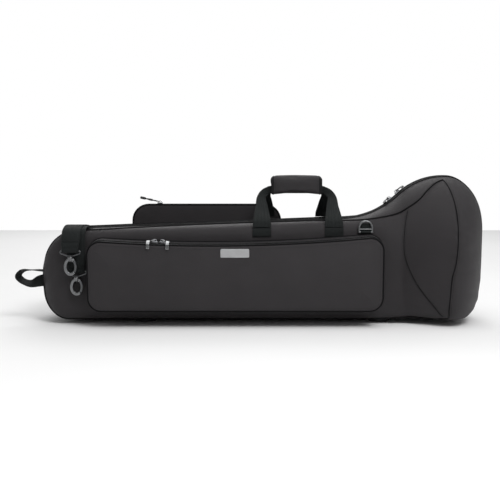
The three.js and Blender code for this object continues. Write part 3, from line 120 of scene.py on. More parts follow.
class Nodes:
    """A node tree that is built from code."""

    def __init__(self, tree: bpy.types.NodeTree) -> None:
        """Starts with an empty tree."""
        self.tree = tree
        tree.nodes.clear()

    def node(
        self,
        kind: str,
        settings: Mapping[str, object] | None = None,
        values: Mapping[str | int, object] | None = None,
    ) -> bpy.types.Node:
        """Adds any node.

        Args:
            kind: The node's type.
            settings: The node's own settings, set first. A ramp's are its stops.
            values: Numbers, colours or links for its inputs.

        Returns:
            The node.
        """
        made = self.tree.nodes.new(kind)
        for key, value in (settings or {}).items():
            if key == "stops":
                ramp = made.color_ramp
                for element, (at, colour) in zip(ramp.elements, value):
                    element.position = at
                    element.color = colour
            else:
                setattr(made, key, value)
        for key, value in (values or {}).items():
            if isinstance(value, Socket):
                self.tree.links.new(value.link, made.inputs[key])
            else:
                made.inputs[key].default_value = value
        return made

    def socket(self, node: bpy.types.Node, output: str | int = 0) -> Socket:
        """An output of a node as a value for maths."""
        return Socket(self, node.outputs[output])

    def coordinates(self, output: str = "Object") -> Socket:
        """The Object or UV coordinates."""
        return self.socket(self.node("ShaderNodeTexCoord"), output)

    def parts(self, vector: Socket) -> tuple[Socket, Socket, Socket]:
        """A vector's three values."""
        split = self.node("ShaderNodeSeparateXYZ", values={0: vector})
        return tuple(self.socket(split, i) for i in range(3))


class Recipe(Nodes):
    """One material's nodes, with a Principled shader at their end."""

    def __init__(self, name: str) -> None:
        """Starts an empty material."""
        self.material = bpy.data.materials.new(name)
        self.material.use_nodes = True
        super().__init__(self.material.node_tree)
        output = self.node("ShaderNodeOutputMaterial")
        self.shader = self.node("ShaderNodeBsdfPrincipled")
        self.tree.links.new(self.shader.outputs["BSDF"], output.inputs["Surface"])

    def noise(self, vector: Socket, scale: float, detail: float = 3.0) -> Socket:
        """A noise value from 0 to 1."""
        made = self.node(
            "ShaderNodeTexNoise",
            values={"Vector": vector, "Scale": scale, "Detail": detail},
        )
        return self.socket(made, 0)

    def blend(self, factor: Socket, low: Sequence[float], high: Sequence[float]) -> Socket:
        """A colour between two colours.

        Args:
            factor: 0 gives low and 1 gives high.
            low: The first colour.
            high: The second colour.

        Returns:
            The mixed colour.
        """
        made = self.node(
            "ShaderNodeMix",
            {"data_type": "RGBA"},
            {0: factor, 6: (*low, 1.0), 7: (*high, 1.0)},
        )
        return self.socket(made, 2)

    def feed(self, name: str, value: Socket) -> None:
        """Links a value to one of the shader's inputs."""
        self.tree.links.new(value.link, self.shader.inputs[name])

    def set(self, **values: float | tuple[float, ...]) -> None:
        """Sets constants of the shader, with underscores for the spaces in their names."""
        for key, value in values.items():
            self.shader.inputs[key.replace("_", " ")].default_value = value

    def bump(self, height: Socket, depth: float, strength: float = 1.0) -> None:
        """Feeds a height, in shares of depth, to the shader's normal."""
        made = self.node(
            "ShaderNodeBump",
            values={"Strength": strength, "Distance": depth, "Height": height},
        )
        self.feed("Normal", self.socket(made, 0))


def shade(colour: Sequence[float], factor: float) -> tuple[float, ...]:
    """A colour made lighter or darker."""
    return tuple(part * factor for part in colour)


@dataclass(frozen=True)
class WovenNylon:
    """Woven nylon cloth, with threads along the piece's own map."""

    name: str
    colour: tuple[float, float, float]
    thread: float = 1.1 * MM
    roughness: float = 0.56
    sheen: float = 0.04
    gloss: float = 0.3

    def make(self) -> bpy.types.Material:
        """The material."""
        recipe = Recipe(self.name)
        along, across, _ = recipe.parts(recipe.coordinates("UV"))
        turn = 2 * math.pi / self.thread
        weave = (along * turn).sine() * (across * turn).sine()
        place = recipe.coordinates()
        cloud = recipe.noise(place, 16.0)
        grain = recipe.noise(place, 420.0, 2.0)
        tone = cloud * 0.6 + grain * 0.3 + weave * 0.12
        recipe.feed("Base Color", recipe.blend(tone, shade(self.colour, 0.72), shade(self.colour, 1.32)))
        recipe.feed("Roughness", grain * 0.14 + (self.roughness - 0.07))
        recipe.bump(weave * 0.5 + cloud * 1.6 + grain * 0.5, 0.35 * MM, 0.7)
        recipe.set(Sheen_Weight=self.sheen, Sheen_Roughness=0.5, Specular_IOR_Level=self.gloss)
        return recipe.material


@dataclass(frozen=True)
class RibbedWebbing:
    """Webbing with ribs along it and picks across them."""

    name: str
    colour: tuple[float, float, float]
    rib: float = 1.9 * MM
    pick: float = 1.3 * MM

    def make(self) -> bpy.types.Material:
        """The material."""
        recipe = Recipe(self.name)
        along, across, _ = recipe.parts(recipe.coordinates("UV"))
        ribs = (across * (math.pi / self.rib)).sine().size()
        picks = (along * (2 * math.pi / self.pick) + ribs * 2.0).sine()
        wear = recipe.noise(recipe.coordinates(), 60.0)
        tone = ribs * 0.35 + wear * 0.45 + picks * 0.12
        recipe.feed("Base Color", recipe.blend(tone, shade(self.colour, 0.6), shade(self.colour, 1.5)))
        recipe.feed("Roughness", wear * 0.2 + 0.62)
        recipe.bump(ribs + picks * 0.35, 0.4 * MM, 0.8)
        recipe.set(Sheen_Weight=0.04, Sheen_Roughness=0.4, Specular_IOR_Level=0.22)
        return recipe.material


@dataclass(frozen=True)
class PlushPile:
    """Short pile over foam, or the lining's brushed cloth."""

    name: str
    colour: tuple[float, float, float]

    def make(self) -> bpy.types.Material:
        """The material."""
        recipe = Recipe(self.name)
        place = recipe.coordinates()
        pile = recipe.noise(place, 900.0, 2.0)
        stroke = recipe.noise(place, 24.0)
        tone = pile * 0.5 + stroke * 0.5
        recipe.feed("Base Color", recipe.blend(tone, shade(self.colour, 0.6), shade(self.colour, 1.5)))
        recipe.feed("Roughness", pile * 0.1 + 0.86)
        recipe.bump(pile + stroke * 2.0, 0.5 * MM, 0.8)
        recipe.set(Sheen_Weight=0.3, Sheen_Roughness=0.35, Specular_IOR_Level=0.2)
        return recipe.material


@dataclass(frozen=True)
class CoatedCord:
    """Coated cloth over a piping cord, thread, or a coil's plastic."""

    name: str
    colour: tuple[float, float, float]
    roughness: float = 0.42
    gloss: float = 0.2

    def make(self) -> bpy.types.Material:
        """The material."""
        recipe = Recipe(self.name)
        place = recipe.coordinates()
        grain = recipe.noise(place, 700.0, 2.0)
        cloud = recipe.noise(place, 40.0)
        recipe.feed(
            "Base Color", recipe.blend(cloud, shade(self.colour, 0.7), shade(self.colour, 1.35))
        )
        recipe.feed("Roughness", grain * 0.2 + (self.roughness - 0.1))
        recipe.bump(grain, 0.12 * MM, 0.6)
        recipe.set(Specular_IOR_Level=self.gloss)
        return recipe.material


@dataclass(frozen=True)
class CastMetal:
    """Die-cast or wire metal under satin nickel or black enamel."""

    name: str
    colour: tuple[float, float, float]
    metallic: float = 1.0
    roughness: float = 0.3
    coat: float = 0.0

    def make(self) -> bpy.types.Material:
        """The material."""
        recipe = Recipe(self.name)
        place = recipe.coordinates()
        stain = recipe.noise(place, 90.0)
        scratch = recipe.noise(place, 1500.0, 4.0)
        tone = stain * 0.7 + scratch * 0.3
        recipe.feed("Base Color", recipe.blend(tone, shade(self.colour, 0.78), shade(self.colour, 1.15)))
        recipe.feed("Roughness", scratch * 0.22 + stain * 0.1 + (self.roughness - 0.16))
        recipe.bump(scratch * 0.4 + stain, 0.06 * MM, 0.5)
        recipe.set(Metallic=self.metallic, Coat_Weight=self.coat, Coat_Roughness=0.2)
        return recipe.material


@dataclass(frozen=True)
class MouldedRubber:
    """Moulded rubber with a fine grain and dusty patches."""

    name: str
    colour: tuple[float, float, float] = (0.012, 0.012, 0.013)

    def make(self) -> bpy.types.Material:
        """The material."""
        recipe = Recipe(self.name)
        place = recipe.coordinates()
        grain = recipe.noise(place, 1100.0, 2.0)
        dust = recipe.noise(place, 45.0)
        recipe.feed("Base Color", recipe.blend(dust, self.colour, shade(self.colour, 2.4)))
        recipe.feed("Roughness", dust * 0.2 + grain * 0.1 + 0.5)
        recipe.bump(grain, 0.15 * MM, 0.6)
        return recipe.material


class Finish(Enum):
    """The case's finishes: each one's maker and the slot that it stands for."""

    NYLON = (WovenNylon("charcoal_nylon", (0.0235, 0.0208, 0.0228)), "nylon")
    # This darker copy of the nylon is painted shade: the pocket's gusset band gets a darker base colour
    # to stand in for the shadow under the cover's edge.
    PANEL = (WovenNylon("painted_shade_band_nylon", (0.0175, 0.016, 0.0175), gloss=0.2), "nylon")
    LINING = (PlushPile("plush_lining", (0.035, 0.035, 0.038)), "nylon")
    BINDING = (RibbedWebbing("edge_binding", (0.009, 0.009, 0.01), rib=1.2 * MM), "nylon")
    WEBBING = (RibbedWebbing("black_webbing", (0.0085, 0.0105, 0.0105)), "webbing")
    PATCH = (WovenNylon("patch_nylon", (0.019, 0.0175, 0.019), gloss=0.25), "webbing")
    PIPING = (CoatedCord("black_piping", (0.0035, 0.0035, 0.004), roughness=0.6, gloss=0.1), "nylon")
    THREAD = (CoatedCord("sewing_thread", (0.011, 0.011, 0.012), roughness=0.6), "nylon")
    TAPE = (RibbedWebbing("zip_tape", (0.007, 0.007, 0.0075), rib=0.9 * MM, pick=0.8 * MM), "coil")
    COIL = (CoatedCord("zip_coil", (0.012, 0.012, 0.013), roughness=0.5), "coil")
    TEETH = (CoatedCord("zip_teeth", (0.03, 0.031, 0.033), roughness=0.42, gloss=0.4), "coil")
    FOAM = (PlushPile("plush_foam", (0.028, 0.028, 0.031)), "foam")
    NICKEL = (CastMetal("satin_nickel", (0.5, 0.51, 0.53), roughness=0.34), "steel")
    GREY_CAST = (CastMetal("grey_casting", (0.22, 0.224, 0.23), roughness=0.36), "steel")
    POLISHED = (CastMetal("polished_pull", (0.33, 0.335, 0.34), roughness=0.26), "steel")
    GUNMETAL = (CastMetal("dark_wire", (0.13, 0.133, 0.138), roughness=0.34), "steel")
    PLATE = (CastMetal("brushed_plate", (0.53, 0.535, 0.545), roughness=0.46), "steel")
    ENAMEL = (
        CastMetal("black_enamel", (0.014, 0.014, 0.015), metallic=0.5, roughness=0.3, coat=0.4),
        "black_metal",
    )
    RUBBER = (MouldedRubber("moulded_rubber"), "rubber")

    def material(self) -> bpy.types.Material:
        """The finish's material, made at its first use."""
        maker, _ = self.value
        return bpy.data.materials.get(maker.name) or maker.make()

    def slot(self) -> str:
        """The slot that the finish stands for."""
        return self.value[1]


# Modelling steps


class Bench:
    """Modelling steps that the sub-assemblies share."""

    @staticmethod
    def start() -> None:
        """Leaves nothing selected before a primitive is added."""
        if bpy.context.mode != "OBJECT":
            bpy.ops.object.mode_set(mode="OBJECT")
        bpy.ops.object.select_all(action="DESELECT")

    @staticmethod
    def pick(piece: bpy.types.Object) -> None:
        """Makes one object the only selected and active one."""
        Bench.start()
        piece.select_set(True)
        bpy.context.view_layer.objects.active = piece

    @staticmethod
    @contextmanager
    def editing(piece: bpy.types.Object) -> Iterator[None]:
        """Edit mode on a piece, with all of it selected."""
        Bench.pick(piece)
        bpy.ops.object.mode_set(mode="EDIT")
        bpy.ops.mesh.select_all(action="SELECT")
        yield
        bpy.ops.object.mode_set(mode="OBJECT")

    @staticmethod
    def add(name: str, data: bpy.types.ID) -> bpy.types.Object:
        """Puts a new object with the data into the scene."""
        made = bpy.data.objects.new(name, data)
        bpy.context.collection.objects.link(made)
        return made

    @staticmethod
    def sheet(
        name: str, columns: int, rows: int, place: Place, flip: bool = False
    ) -> bpy.types.Object:
        """A grid laid on a surface, with its map in metres.

        Args:
            name: The piece's name.
            columns: Faces along the first share.
            rows: Faces along the second share.
            place: The surface's point at two shares from 0 to 1.
            flip: Turns the faces round.

        Returns:
            The open sheet.
        """
        Bench.start()
        bpy.ops.mesh.primitive_grid_add(x_subdivisions=columns, y_subdivisions=rows, size=1.0)
        piece = bpy.context.object
        piece.name = name
        mesh = piece.data
        mesh.name = name
        for vertex in mesh.vertices:
            vertex.co = place(vertex.co.x + 0.5, vertex.co.y + 0.5)
        probes = (0.25, 0.5, 0.75)
        length = max(Bench.run(place, columns, mid, True) for mid in probes)
        width = max(Bench.run(place, rows, mid, False) for mid in probes)
        for corner in mesh.uv_layers.active.data:
            corner.uv = (corner.uv.x * length, corner.uv.y * width)
        Bench.merge(piece, 0.02 * MM)
        if flip:
            with Bench.editing(piece):
                bpy.ops.mesh.flip_normals()
        bpy.ops.object.shade_smooth()
        return piece

    @staticmethod
    def merge(piece: bpy.types.Object, reach: float) -> None:
        """Joins points that lie closer together than reach."""
        with Bench.editing(piece):
            bpy.ops.mesh.remove_doubles(threshold=reach)

    @staticmethod
    def run(place: Place, steps: int, mid: float, first: bool) -> float:
        """The length of a surface along one share, with the other share held at mid."""
        points = [place(i / steps, mid) if first else place(mid, i / steps) for i in range(steps + 1)]
        return sum((b - a).length for a, b in zip(points, points[1:]))

    @staticmethod
    def cut(piece: bpy.types.Object, at: Sequence[float], away: Sequence[float]) -> None:
        """Cuts off what lies on one side of a plane.

        Args:
            piece: The object to cut.
            at: A point of the plane.
            away: The direction of the side that goes.
        """
        with Bench.editing(piece):
            bpy.ops.mesh.bisect(plane_co=at, plane_no=away, clear_outer=True)

    @staticmethod
    def modify(piece: bpy.types.Object, kind: str, **settings: object) -> None:
        """Adds a modifier and applies it."""
        Bench.pick(piece)
        made = piece.modifiers.new(kind.lower(), kind)
        for key, value in settings.items():
            setattr(made, key, value)
        bpy.ops.object.modifier_apply(modifier=made.name)

    @staticmethod
    def cord(
        name: str, line: Sequence[Vector], radius: float, closed: bool = False, sides: int = 2
    ) -> bpy.types.Object:
        """A round cord along a line.

        Args:
            name: The piece's name.
            line: The points that it follows.
            radius: Its radius.
            closed: Joins its end to its start.
            sides: The curve's bevel resolution.

        Returns:
            The cord as a mesh.
        """
        curve = bpy.data.curves.new(name, "CURVE")
        curve.dimensions = "3D"
        curve.bevel_depth = radius
        curve.bevel_resolution = sides
        curve.use_fill_caps = not closed
        spline = curve.splines.new("POLY")
        spline.points.add(len(line) - 1)
        for point, at in zip(spline.points, line):
            point.co = (*at, 1.0)
        spline.use_cyclic_u = closed
        Bench.pick(Bench.add(name, curve))
        bpy.ops.object.convert(target="MESH")
        made = bpy.context.object
        made.name = name
        bpy.ops.object.shade_smooth()
        return made

    @staticmethod
    def repeat(
        name: str, pattern: bpy.types.Object, frames: Iterable[Matrix]
    ) -> bpy.types.Object:
        """Copies a small mesh to many places as one object.

        Args:
            name: The new piece's name.
            pattern: The mesh that repeats, which goes once it is copied.
            frames: Where each copy goes.

        Returns:
            All copies as one mesh.
        """
        spots = [vertex.co.copy() for vertex in pattern.data.vertices]
        sides = [tuple(face.vertices) for face in pattern.data.polygons]
        points: list[Vector] = []
        faces: list[tuple[int, ...]] = []
        for matrix in frames:
            start = len(points)
            points.extend(matrix @ spot for spot in spots)
            faces.extend(tuple(start + index for index in side) for side in sides)
        mesh = bpy.data.meshes.new(name)
        mesh.from_pydata(points, [], faces)
        mesh.update()
        made = Bench.add(name, mesh)
        bpy.data.objects.remove(pattern)
        return made

    @staticmethod
    def copy_node(name: str, node: str, voxel: float, rounds: int) -> bpy.types.Object:
        """A rounded piece over a CAD node: its own form, remeshed and smoothed.

        Args:
            name: The new piece's name.
            node: The CAD node.
            voxel: The remesh size.
            rounds: How often the form is smoothed.

        Returns:
            The rounded piece.
        """
        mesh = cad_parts[node].data.copy()
        mesh.materials.clear()
        made = Bench.add(name, mesh)
        Bench.merge(made, 0.01 * MM)
        Bench.modify(made, "REMESH", mode="VOXEL", voxel_size=voxel)
        Bench.modify(made, "SMOOTH", factor=0.5, iterations=rounds)
        bpy.ops.object.shade_smooth()
        return made

    @staticmethod
    def inflate(piece: bpy.types.Object, pressure: float, cap: float, frames: int = 18) -> None:
        """Puffs a closed pad with a short cloth simulation.

        Args:
            piece: The pad.
            pressure: The pressure inside it.
            cap: The furthest that a point may move.
            frames: How long the simulation runs.
        """
        Bench.pick(piece)
        made = piece.modifiers.new("cloth", "CLOTH")
        made.settings.use_pressure = True
        made.settings.uniform_pressure_force = pressure
        made.settings.quality = 6
        made.settings.mass = 0.2
        made.settings.effector_weights.gravity = 0.0
        made.point_cache.frame_start = 1
        made.point_cache.frame_end = frames
        scene = bpy.context.scene
        for step in range(1, frames + 1):
            scene.frame_set(step)
        puffed = piece.evaluated_get(bpy.context.evaluated_depsgraph_get())
        spots = [vertex.co.copy() for vertex in puffed.data.vertices]
        scene.frame_set(1)
        piece.modifiers.remove(made)
        for vertex, spot in zip(piece.data.vertices, spots):
            way = spot - vertex.co
            if way.length > cap:
                way = way.normalized() * cap
            vertex.co += way
        Bench.modify(piece, "SMOOTH", factor=0.5, iterations=3)
        Bench.modify(piece, "SUBSURF", levels=1, render_levels=1)

    @staticmethod
    def box_map(piece: bpy.types.Object) -> None:
        """Lays the weave flat on each side of a piece, in metres."""
        mesh = piece.data
        layer = mesh.uv_layers.active or mesh.uv_layers.new(name="weave")
        for face in mesh.polygons:
            way = [abs(part) for part in face.normal]
            first, second = ((1, 2), (0, 2), (0, 1))[way.index(max(way))]
            for index in face.loop_indices:
                spot = mesh.vertices[mesh.loops[index].vertex_index].co
                layer.data[index].uv = (spot[first], spot[second])

    @staticmethod
    def dress(
        piece: bpy.types.Object,
        body: str,
        finishes: Sequence[Finish],
        replaces: Sequence[str] = (),
        fill: float | None = None,
    ) -> bpy.types.Object:
        """Gives a finished piece its materials, its body and what it stands for.

        Args:
            piece: The finished piece.
            body: The CAD body that it rides.
            finishes: Its finishes in the order of its material slots.
            replaces: The CAD nodes that it stands for.
            fill: How tight a padded piece is. It is not used.

        Returns:
            The same piece.
        """
        piece.data.materials.clear()
        for finish in finishes:
            piece.data.materials.append(finish.material())
        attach(piece, body)
        finishes[0].slot()
        if replaces:
            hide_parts(*replaces)
        LOG.info("%s rides on %s", piece.name, body)
        return piece


class Line:
    """Smooth lines through points."""

    @staticmethod
    def through(points: Sequence[Vector], share: float) -> Vector:
        """A point of the centripetal curve through control points.

        Args:
            points: The control points.
            share: The place along the curve from 0 to 1.

        Returns:
            The curve's point.
        """
        last = len(points) - 1
        spot = min(max(share, 0.0), 1.0) * last
        index = min(int(spot), last - 1)
        weight = spot - index
        p1, p2 = points[index], points[index + 1]
        p0 = points[index - 1] if index > 0 else p1 * 2 - p2
        p3 = points[index + 2] if index + 2 <= last else p2 * 2 - p1
        gaps = [max((b - a).length, 1e-9) ** 0.5 for a, b in ((p0, p1), (p1, p2), (p2, p3))]
        slope1 = (p1 - p0) / gaps[0] - (p2 - p0) / (gaps[0] + gaps[1]) + (p2 - p1) / gaps[1]
        slope2 = (p2 - p1) / gaps[1] - (p3 - p1) / (gaps[1] + gaps[2]) + (p3 - p2) / gaps[2]
        slope1 = slope1 * gaps[1]
        slope2 = slope2 * gaps[1]
        square, cube = weight * weight, weight * weight * weight
        return (
            p1 * (2 * cube - 3 * square + 1)
            + slope1 * (cube - 2 * square + weight)
            + p2 * (3 * square - 2 * cube)
            + slope2 * (cube - square)
        )

    @staticmethod
    def even(points: Sequence[Vector], spacing: float, closed: bool = False) -> list[Vector]:
        """Points at an even spacing along the curve through control points.

        Args:
            points: The control points.
            spacing: The distance between the points.
            closed: Goes on from the last control point to the first.

        Returns:
            The points, without the repeated first one on a closed line.
        """
        controls = [*points, points[0]] if closed else list(points)
        if closed:
            controls = [points[-1], *controls, points[1]]
            span = (1 / (len(controls) - 1), 1 - 1 / (len(controls) - 1))
        else:
            span = (0.0, 1.0)
        fine = 24 * len(controls)
        dense = [
            Line.through(controls, span[0] + (span[1] - span[0]) * i / fine) for i in range(fine + 1)
        ]
        return Line.walk(dense, spacing, closed)

    @staticmethod
    def walk(dense: Sequence[Vector], spacing: float, closed: bool = False) -> list[Vector]:
        """Points at an even spacing along a fine chain of points."""
        total = sum((b - a).length for a, b in zip(dense, dense[1:]))
        count = max(int(round(total / spacing)), 2)
        step = total / count
        found = [dense[0]]
        passed = 0.0
        for a, b in zip(dense, dense[1:]):
            gap = (b - a).length
            while gap > 0 and len(found) <= count and passed + gap >= step * len(found) - 1e-9:
                share = (step * len(found) - passed) / gap
                found.append(a.lerp(b, min(share, 1.0)))
            passed += gap
        return found[:count] if closed else found[: count + 1]


# The case's form


def clamp(value: float) -> float:
    """A value held between 0 and 1."""
    return min(max(value, 0.0), 1.0)


def mix(low: float, high: float, share: float) -> float:
    """A value between two values."""
    return low + (high - low) * share


def ease(value: float, low: float, high: float) -> float:
    """A smooth step from 0 at low to 1 at high."""
    share = clamp((value - low) / (high - low))
    return share * share * (3 - 2 * share)


def rounded(distance: float, length: float, power: float) -> float:
    """The rise of a rounded end: 0 at its pole and 1 from length on."""
    share = clamp(distance / length)
    return (1 - (1 - share) ** power) ** (1 / power)


@dataclass(frozen=True)
class CaseForm:
    """The case's outer skin, as the CAD model defines it.

    A pair of powers holds for above and below the section's centre.
    """

    length: float = 940 * MM
    reach: float = 1001.2 * MM
    coil: float = 3.2 * MM
    half_depth: float = 75 * MM
    bell_half_depth: float = 125 * MM
    foot: float = 8 * MM
    neck_height: float = 210 * MM
    narrow_height: float = 187 * MM
    bell_height: float = 300 * MM
    rise_angle: float = math.pi / 4
    hollow_share: float = 0.55
    crest_inset: float = 86 * MM
    dome: float = 82 * MM
    pole_rise: float = 28 * MM
    slope: float = 0.5
    narrow_top: float = 88 * MM
    narrow_bottom: float = 58 * MM
    narrow_side: float = 60 * MM
    nose_share: float = 0.385
    narrow_powers: tuple[float, float] = (2.0, 1.85)
    bell_powers: tuple[float, float] = (2.1, 3.5)
    narrow_side_power: float = 2.45
    bell_side_power: float = 1.65
    neck_power: float = 8.0
    throat_powers: tuple[float, float] = (2.1, 6.0)
    flare_powers: tuple[float, float] = (2.1, 5.5)

    @property
    def bell_end(self) -> float:
        """The bell end's place in X."""
        return self.reach / 2 - self.coil

    @property
    def narrow_end(self) -> float:
        """The narrow end's place in X."""
        return self.bell_end - self.length

    @property
    def crest(self) -> float:
        """Where the bell's top is reached."""
        return self.bell_end - self.crest_inset

    @property
    def rim(self) -> float:
        """Where the domed end starts."""
        return self.bell_end - self.dome

    @property
    def radii(self) -> float:
        """The two arcs' radii together."""
        return (self.bell_height - self.neck_height) / (1 - math.cos(self.rise_angle))

    @property
    def hollow(self) -> float:
        """The hollow arc's radius."""
        return self.radii * self.hollow_share

    @property
    def crown(self) -> float:
        """The crown arc's radius."""
        return self.radii - self.hollow

    @property
    def rise(self) -> float:
        """Where the rise starts."""
        return self.crest - self.radii * math.sin(self.rise_angle)

    @property
    def turn(self) -> float:
        """Where the two arcs meet."""
        return self.rise + self.hollow * math.sin(self.rise_angle)

    @property
    def neck_top(self) -> float:
        """The neck's height at the rise."""
        return self.foot + self.neck_height

    @property
    def bell_top(self) -> float:
        """The bell's height."""
        return self.foot + self.bell_height

    def ridge(self, x: float, proud: float) -> float:
        """The ridge's height at x, moved out by proud."""
        if x >= self.crest:
            return self.bell_top + proud
        if x >= self.turn:
            centre = self.bell_top - self.crown
            return centre + math.sqrt((self.crown + proud) ** 2 - (x - self.crest) ** 2)
        if x >= self.rise:
            centre = self.neck_top + self.hollow
            return centre - math.sqrt((self.hollow - proud) ** 2 - (x - self.rise) ** 2)
        drop = (self.neck_height - self.narrow_height) / (self.rise - self.narrow_end)
        return self.neck_top + proud - (self.rise - x) * drop

    def centre(self, x: float, proud: float) -> float:
        """The height of the section's centre at x."""
        share = clamp((x - self.narrow_end + proud) / (self.narrow_top + proud))
        nose = self.foot + self.narrow_height * self.nose_share
        narrow = mix(self.foot + self.neck_height / 2, nose, (1 - share) ** 2)
        bell = self.foot + self.bell_height / 2 + self.pole_rise * ease(x, self.rim, self.bell_end)
        return mix(narrow, bell, ease(x, self.rise, self.turn))

    def point(self, x: float, turn: float, proud: float = 0.0) -> Vector:
        """The skin's point.

        Args:
            x: The section's place.
            turn: The angle from +Y towards +Z round the section's centre.
            proud: How far the skin is moved out.

        Returns:
            The point.
        """
        from_narrow = x - self.narrow_end + proud
        from_bell = self.bell_end + proud - x
        centre = self.centre(x, proud)
        up = math.sin(turn) >= 0
        half = 0 if up else 1
        narrow_round = (self.narrow_top if up else self.narrow_bottom) + proud
        rise = self.ridge(x, proud) - centre if up else centre - self.foot + proud
        height = (
            rise
            * rounded(from_narrow, narrow_round, self.narrow_powers[half])
            * rounded(from_bell, self.dome + proud, self.bell_powers[half])
        )
        taper = rounded(from_narrow, self.narrow_side + proud, self.narrow_side_power) * rounded(
            from_bell, self.dome + proud, self.bell_side_power
        )
        opened = ease(x, self.rise, self.turn) if up else ease(x, self.turn, self.rim)
        power = mix(self.neck_power, self.throat_powers[half], opened)
        flare = self.bell_half_depth + proud - self.slope * max(self.rim - x, 0)
        widest = max(self.half_depth + proud, flare) * taper
        angle = math.atan2(height * math.sin(turn), widest * math.cos(turn))
        radius = self.oval(angle, (self.half_depth + proud) * taper, height, power)
        if flare > 0:
            radius = max(radius, self.oval(angle, flare * taper, height, self.flare_powers[half]))
        return Vector((x, radius * math.cos(angle), centre + radius * math.sin(angle)))

    @staticmethod
    def oval(angle: float, depth: float, height: float, power: float) -> float:
        """The radius of a squared oval at an angle."""
        side = abs(math.cos(angle)) / max(depth, 1e-9)
        rise = abs(math.sin(angle)) / max(height, 1e-9)
        return (side**power + rise**power) ** (-1 / power)

    def station(self, share: float, proud: float) -> float:
        """The x of a share along the case, closer together at both ends.

        Args:
            share: From 0 at the narrow end to 1 at the bell end.
            proud: How far the skin is moved out.

        Returns:
            The place in X.
        """
        low, high = 0.14, 0.86
        start = self.narrow_end - proud
        end = self.bell_end + proud
        narrow_in, bell_in = self.narrow_top + proud, self.dome + proud
        if share < low:
            return start + narrow_in * (1 - math.cos(share / low * math.pi / 2))
        if share > high:
            return end - bell_in * (1 - math.cos((1 - share) / (1 - high) * math.pi / 2))
        return mix(start + narrow_in, end - bell_in, (share - low) / (high - low))

    def skin(
        self,
        name: str,
        proud: float,
        low: float,
        high: float,
        grid: tuple[int, int],
        soft: float = 0.0,
        span: tuple[float, float] | None = None,
    ) -> bpy.types.Object:
        """The skin between two turns as an open sheet that faces outwards.

        Args:
            name: The sheet's name.
            proud: How far it is moved out.
            low: The first turn.
            high: The last turn.
            grid: Faces along X and round the section.
            soft: How far the cloth gives between its seams.
            span: The sheet's first and last X, or none for the whole case.

        Returns:
            The sheet.
        """

        def place(first: float, second: float) -> Vector:
            """The skin's point at two shares."""
            x = mix(*span, first) if span else self.station(first, proud)
            turn = mix(low, high, second)
            spot = self.point(x, turn, proud)
            return self.point(x, turn, proud - self.give(spot, soft)) if soft > 0 else spot

        return Bench.sheet(name, *grid, place, flip=True)

    def give(self, spot: Vector, soft: float) -> float:
        """How far the cloth lies under the skin: soft hollows, and folds at the bell.

        Args:
            spot: A point of the skin.
            soft: The depth of the deepest hollow.

        Returns:
            The distance. It is 0 at both ends' poles.
        """
        hollows, along, upward, lean, seed = 21.0, 16.0, 62.0, 20.0, 3.0
        fold_depth, fold_reach, low_share = 5.0, 0.35, 0.6
        rim_in, rim_out = (-22 * MM, 8 * MM), (34 * MM, 60 * MM)
        low_in, high_out, floor_out = (0.03, 0.08), (0.2, 0.26), (0.06, 0.16)
        hollow = 0.5 - 0.5 * noise.noise(spot * hollows)
        side = math.copysign(seed, spot.y)
        fold = noise.noise(Vector((spot.x * along, side, spot.z * upward + spot.x * lean)))
        near_rim = ease(spot.x, self.rim + rim_in[0], self.rim + rim_in[1]) * (
            1 - ease(spot.x, self.rim + rim_out[0], self.rim + rim_out[1])
        )
        bell = ease(spot.x, self.turn, self.rim - 20 * MM)
        low_bell = bell * (1 - ease(spot.z, *floor_out)) * low_share
        reach = max(near_rim * ease(spot.z, *low_in) * (1 - ease(spot.z, *high_out)), low_bell)
        from_pole = min(spot.x - self.narrow_end, self.bell_end - spot.x)
        held = ease(from_pole, 1 * MM, 12 * MM)
        return soft * held * (hollow + fold_depth * reach * clamp(fold + fold_reach))

    def tree(self) -> BVHTree:
        """A search tree over the whole skin, to snap lines to it."""
        sheet = self.skin("probe", 0.0, *ROUND, (240, 200))
        tree = BVHTree.FromObject(sheet, bpy.context.evaluated_depsgraph_get())
        bpy.data.objects.remove(sheet)
        return tree


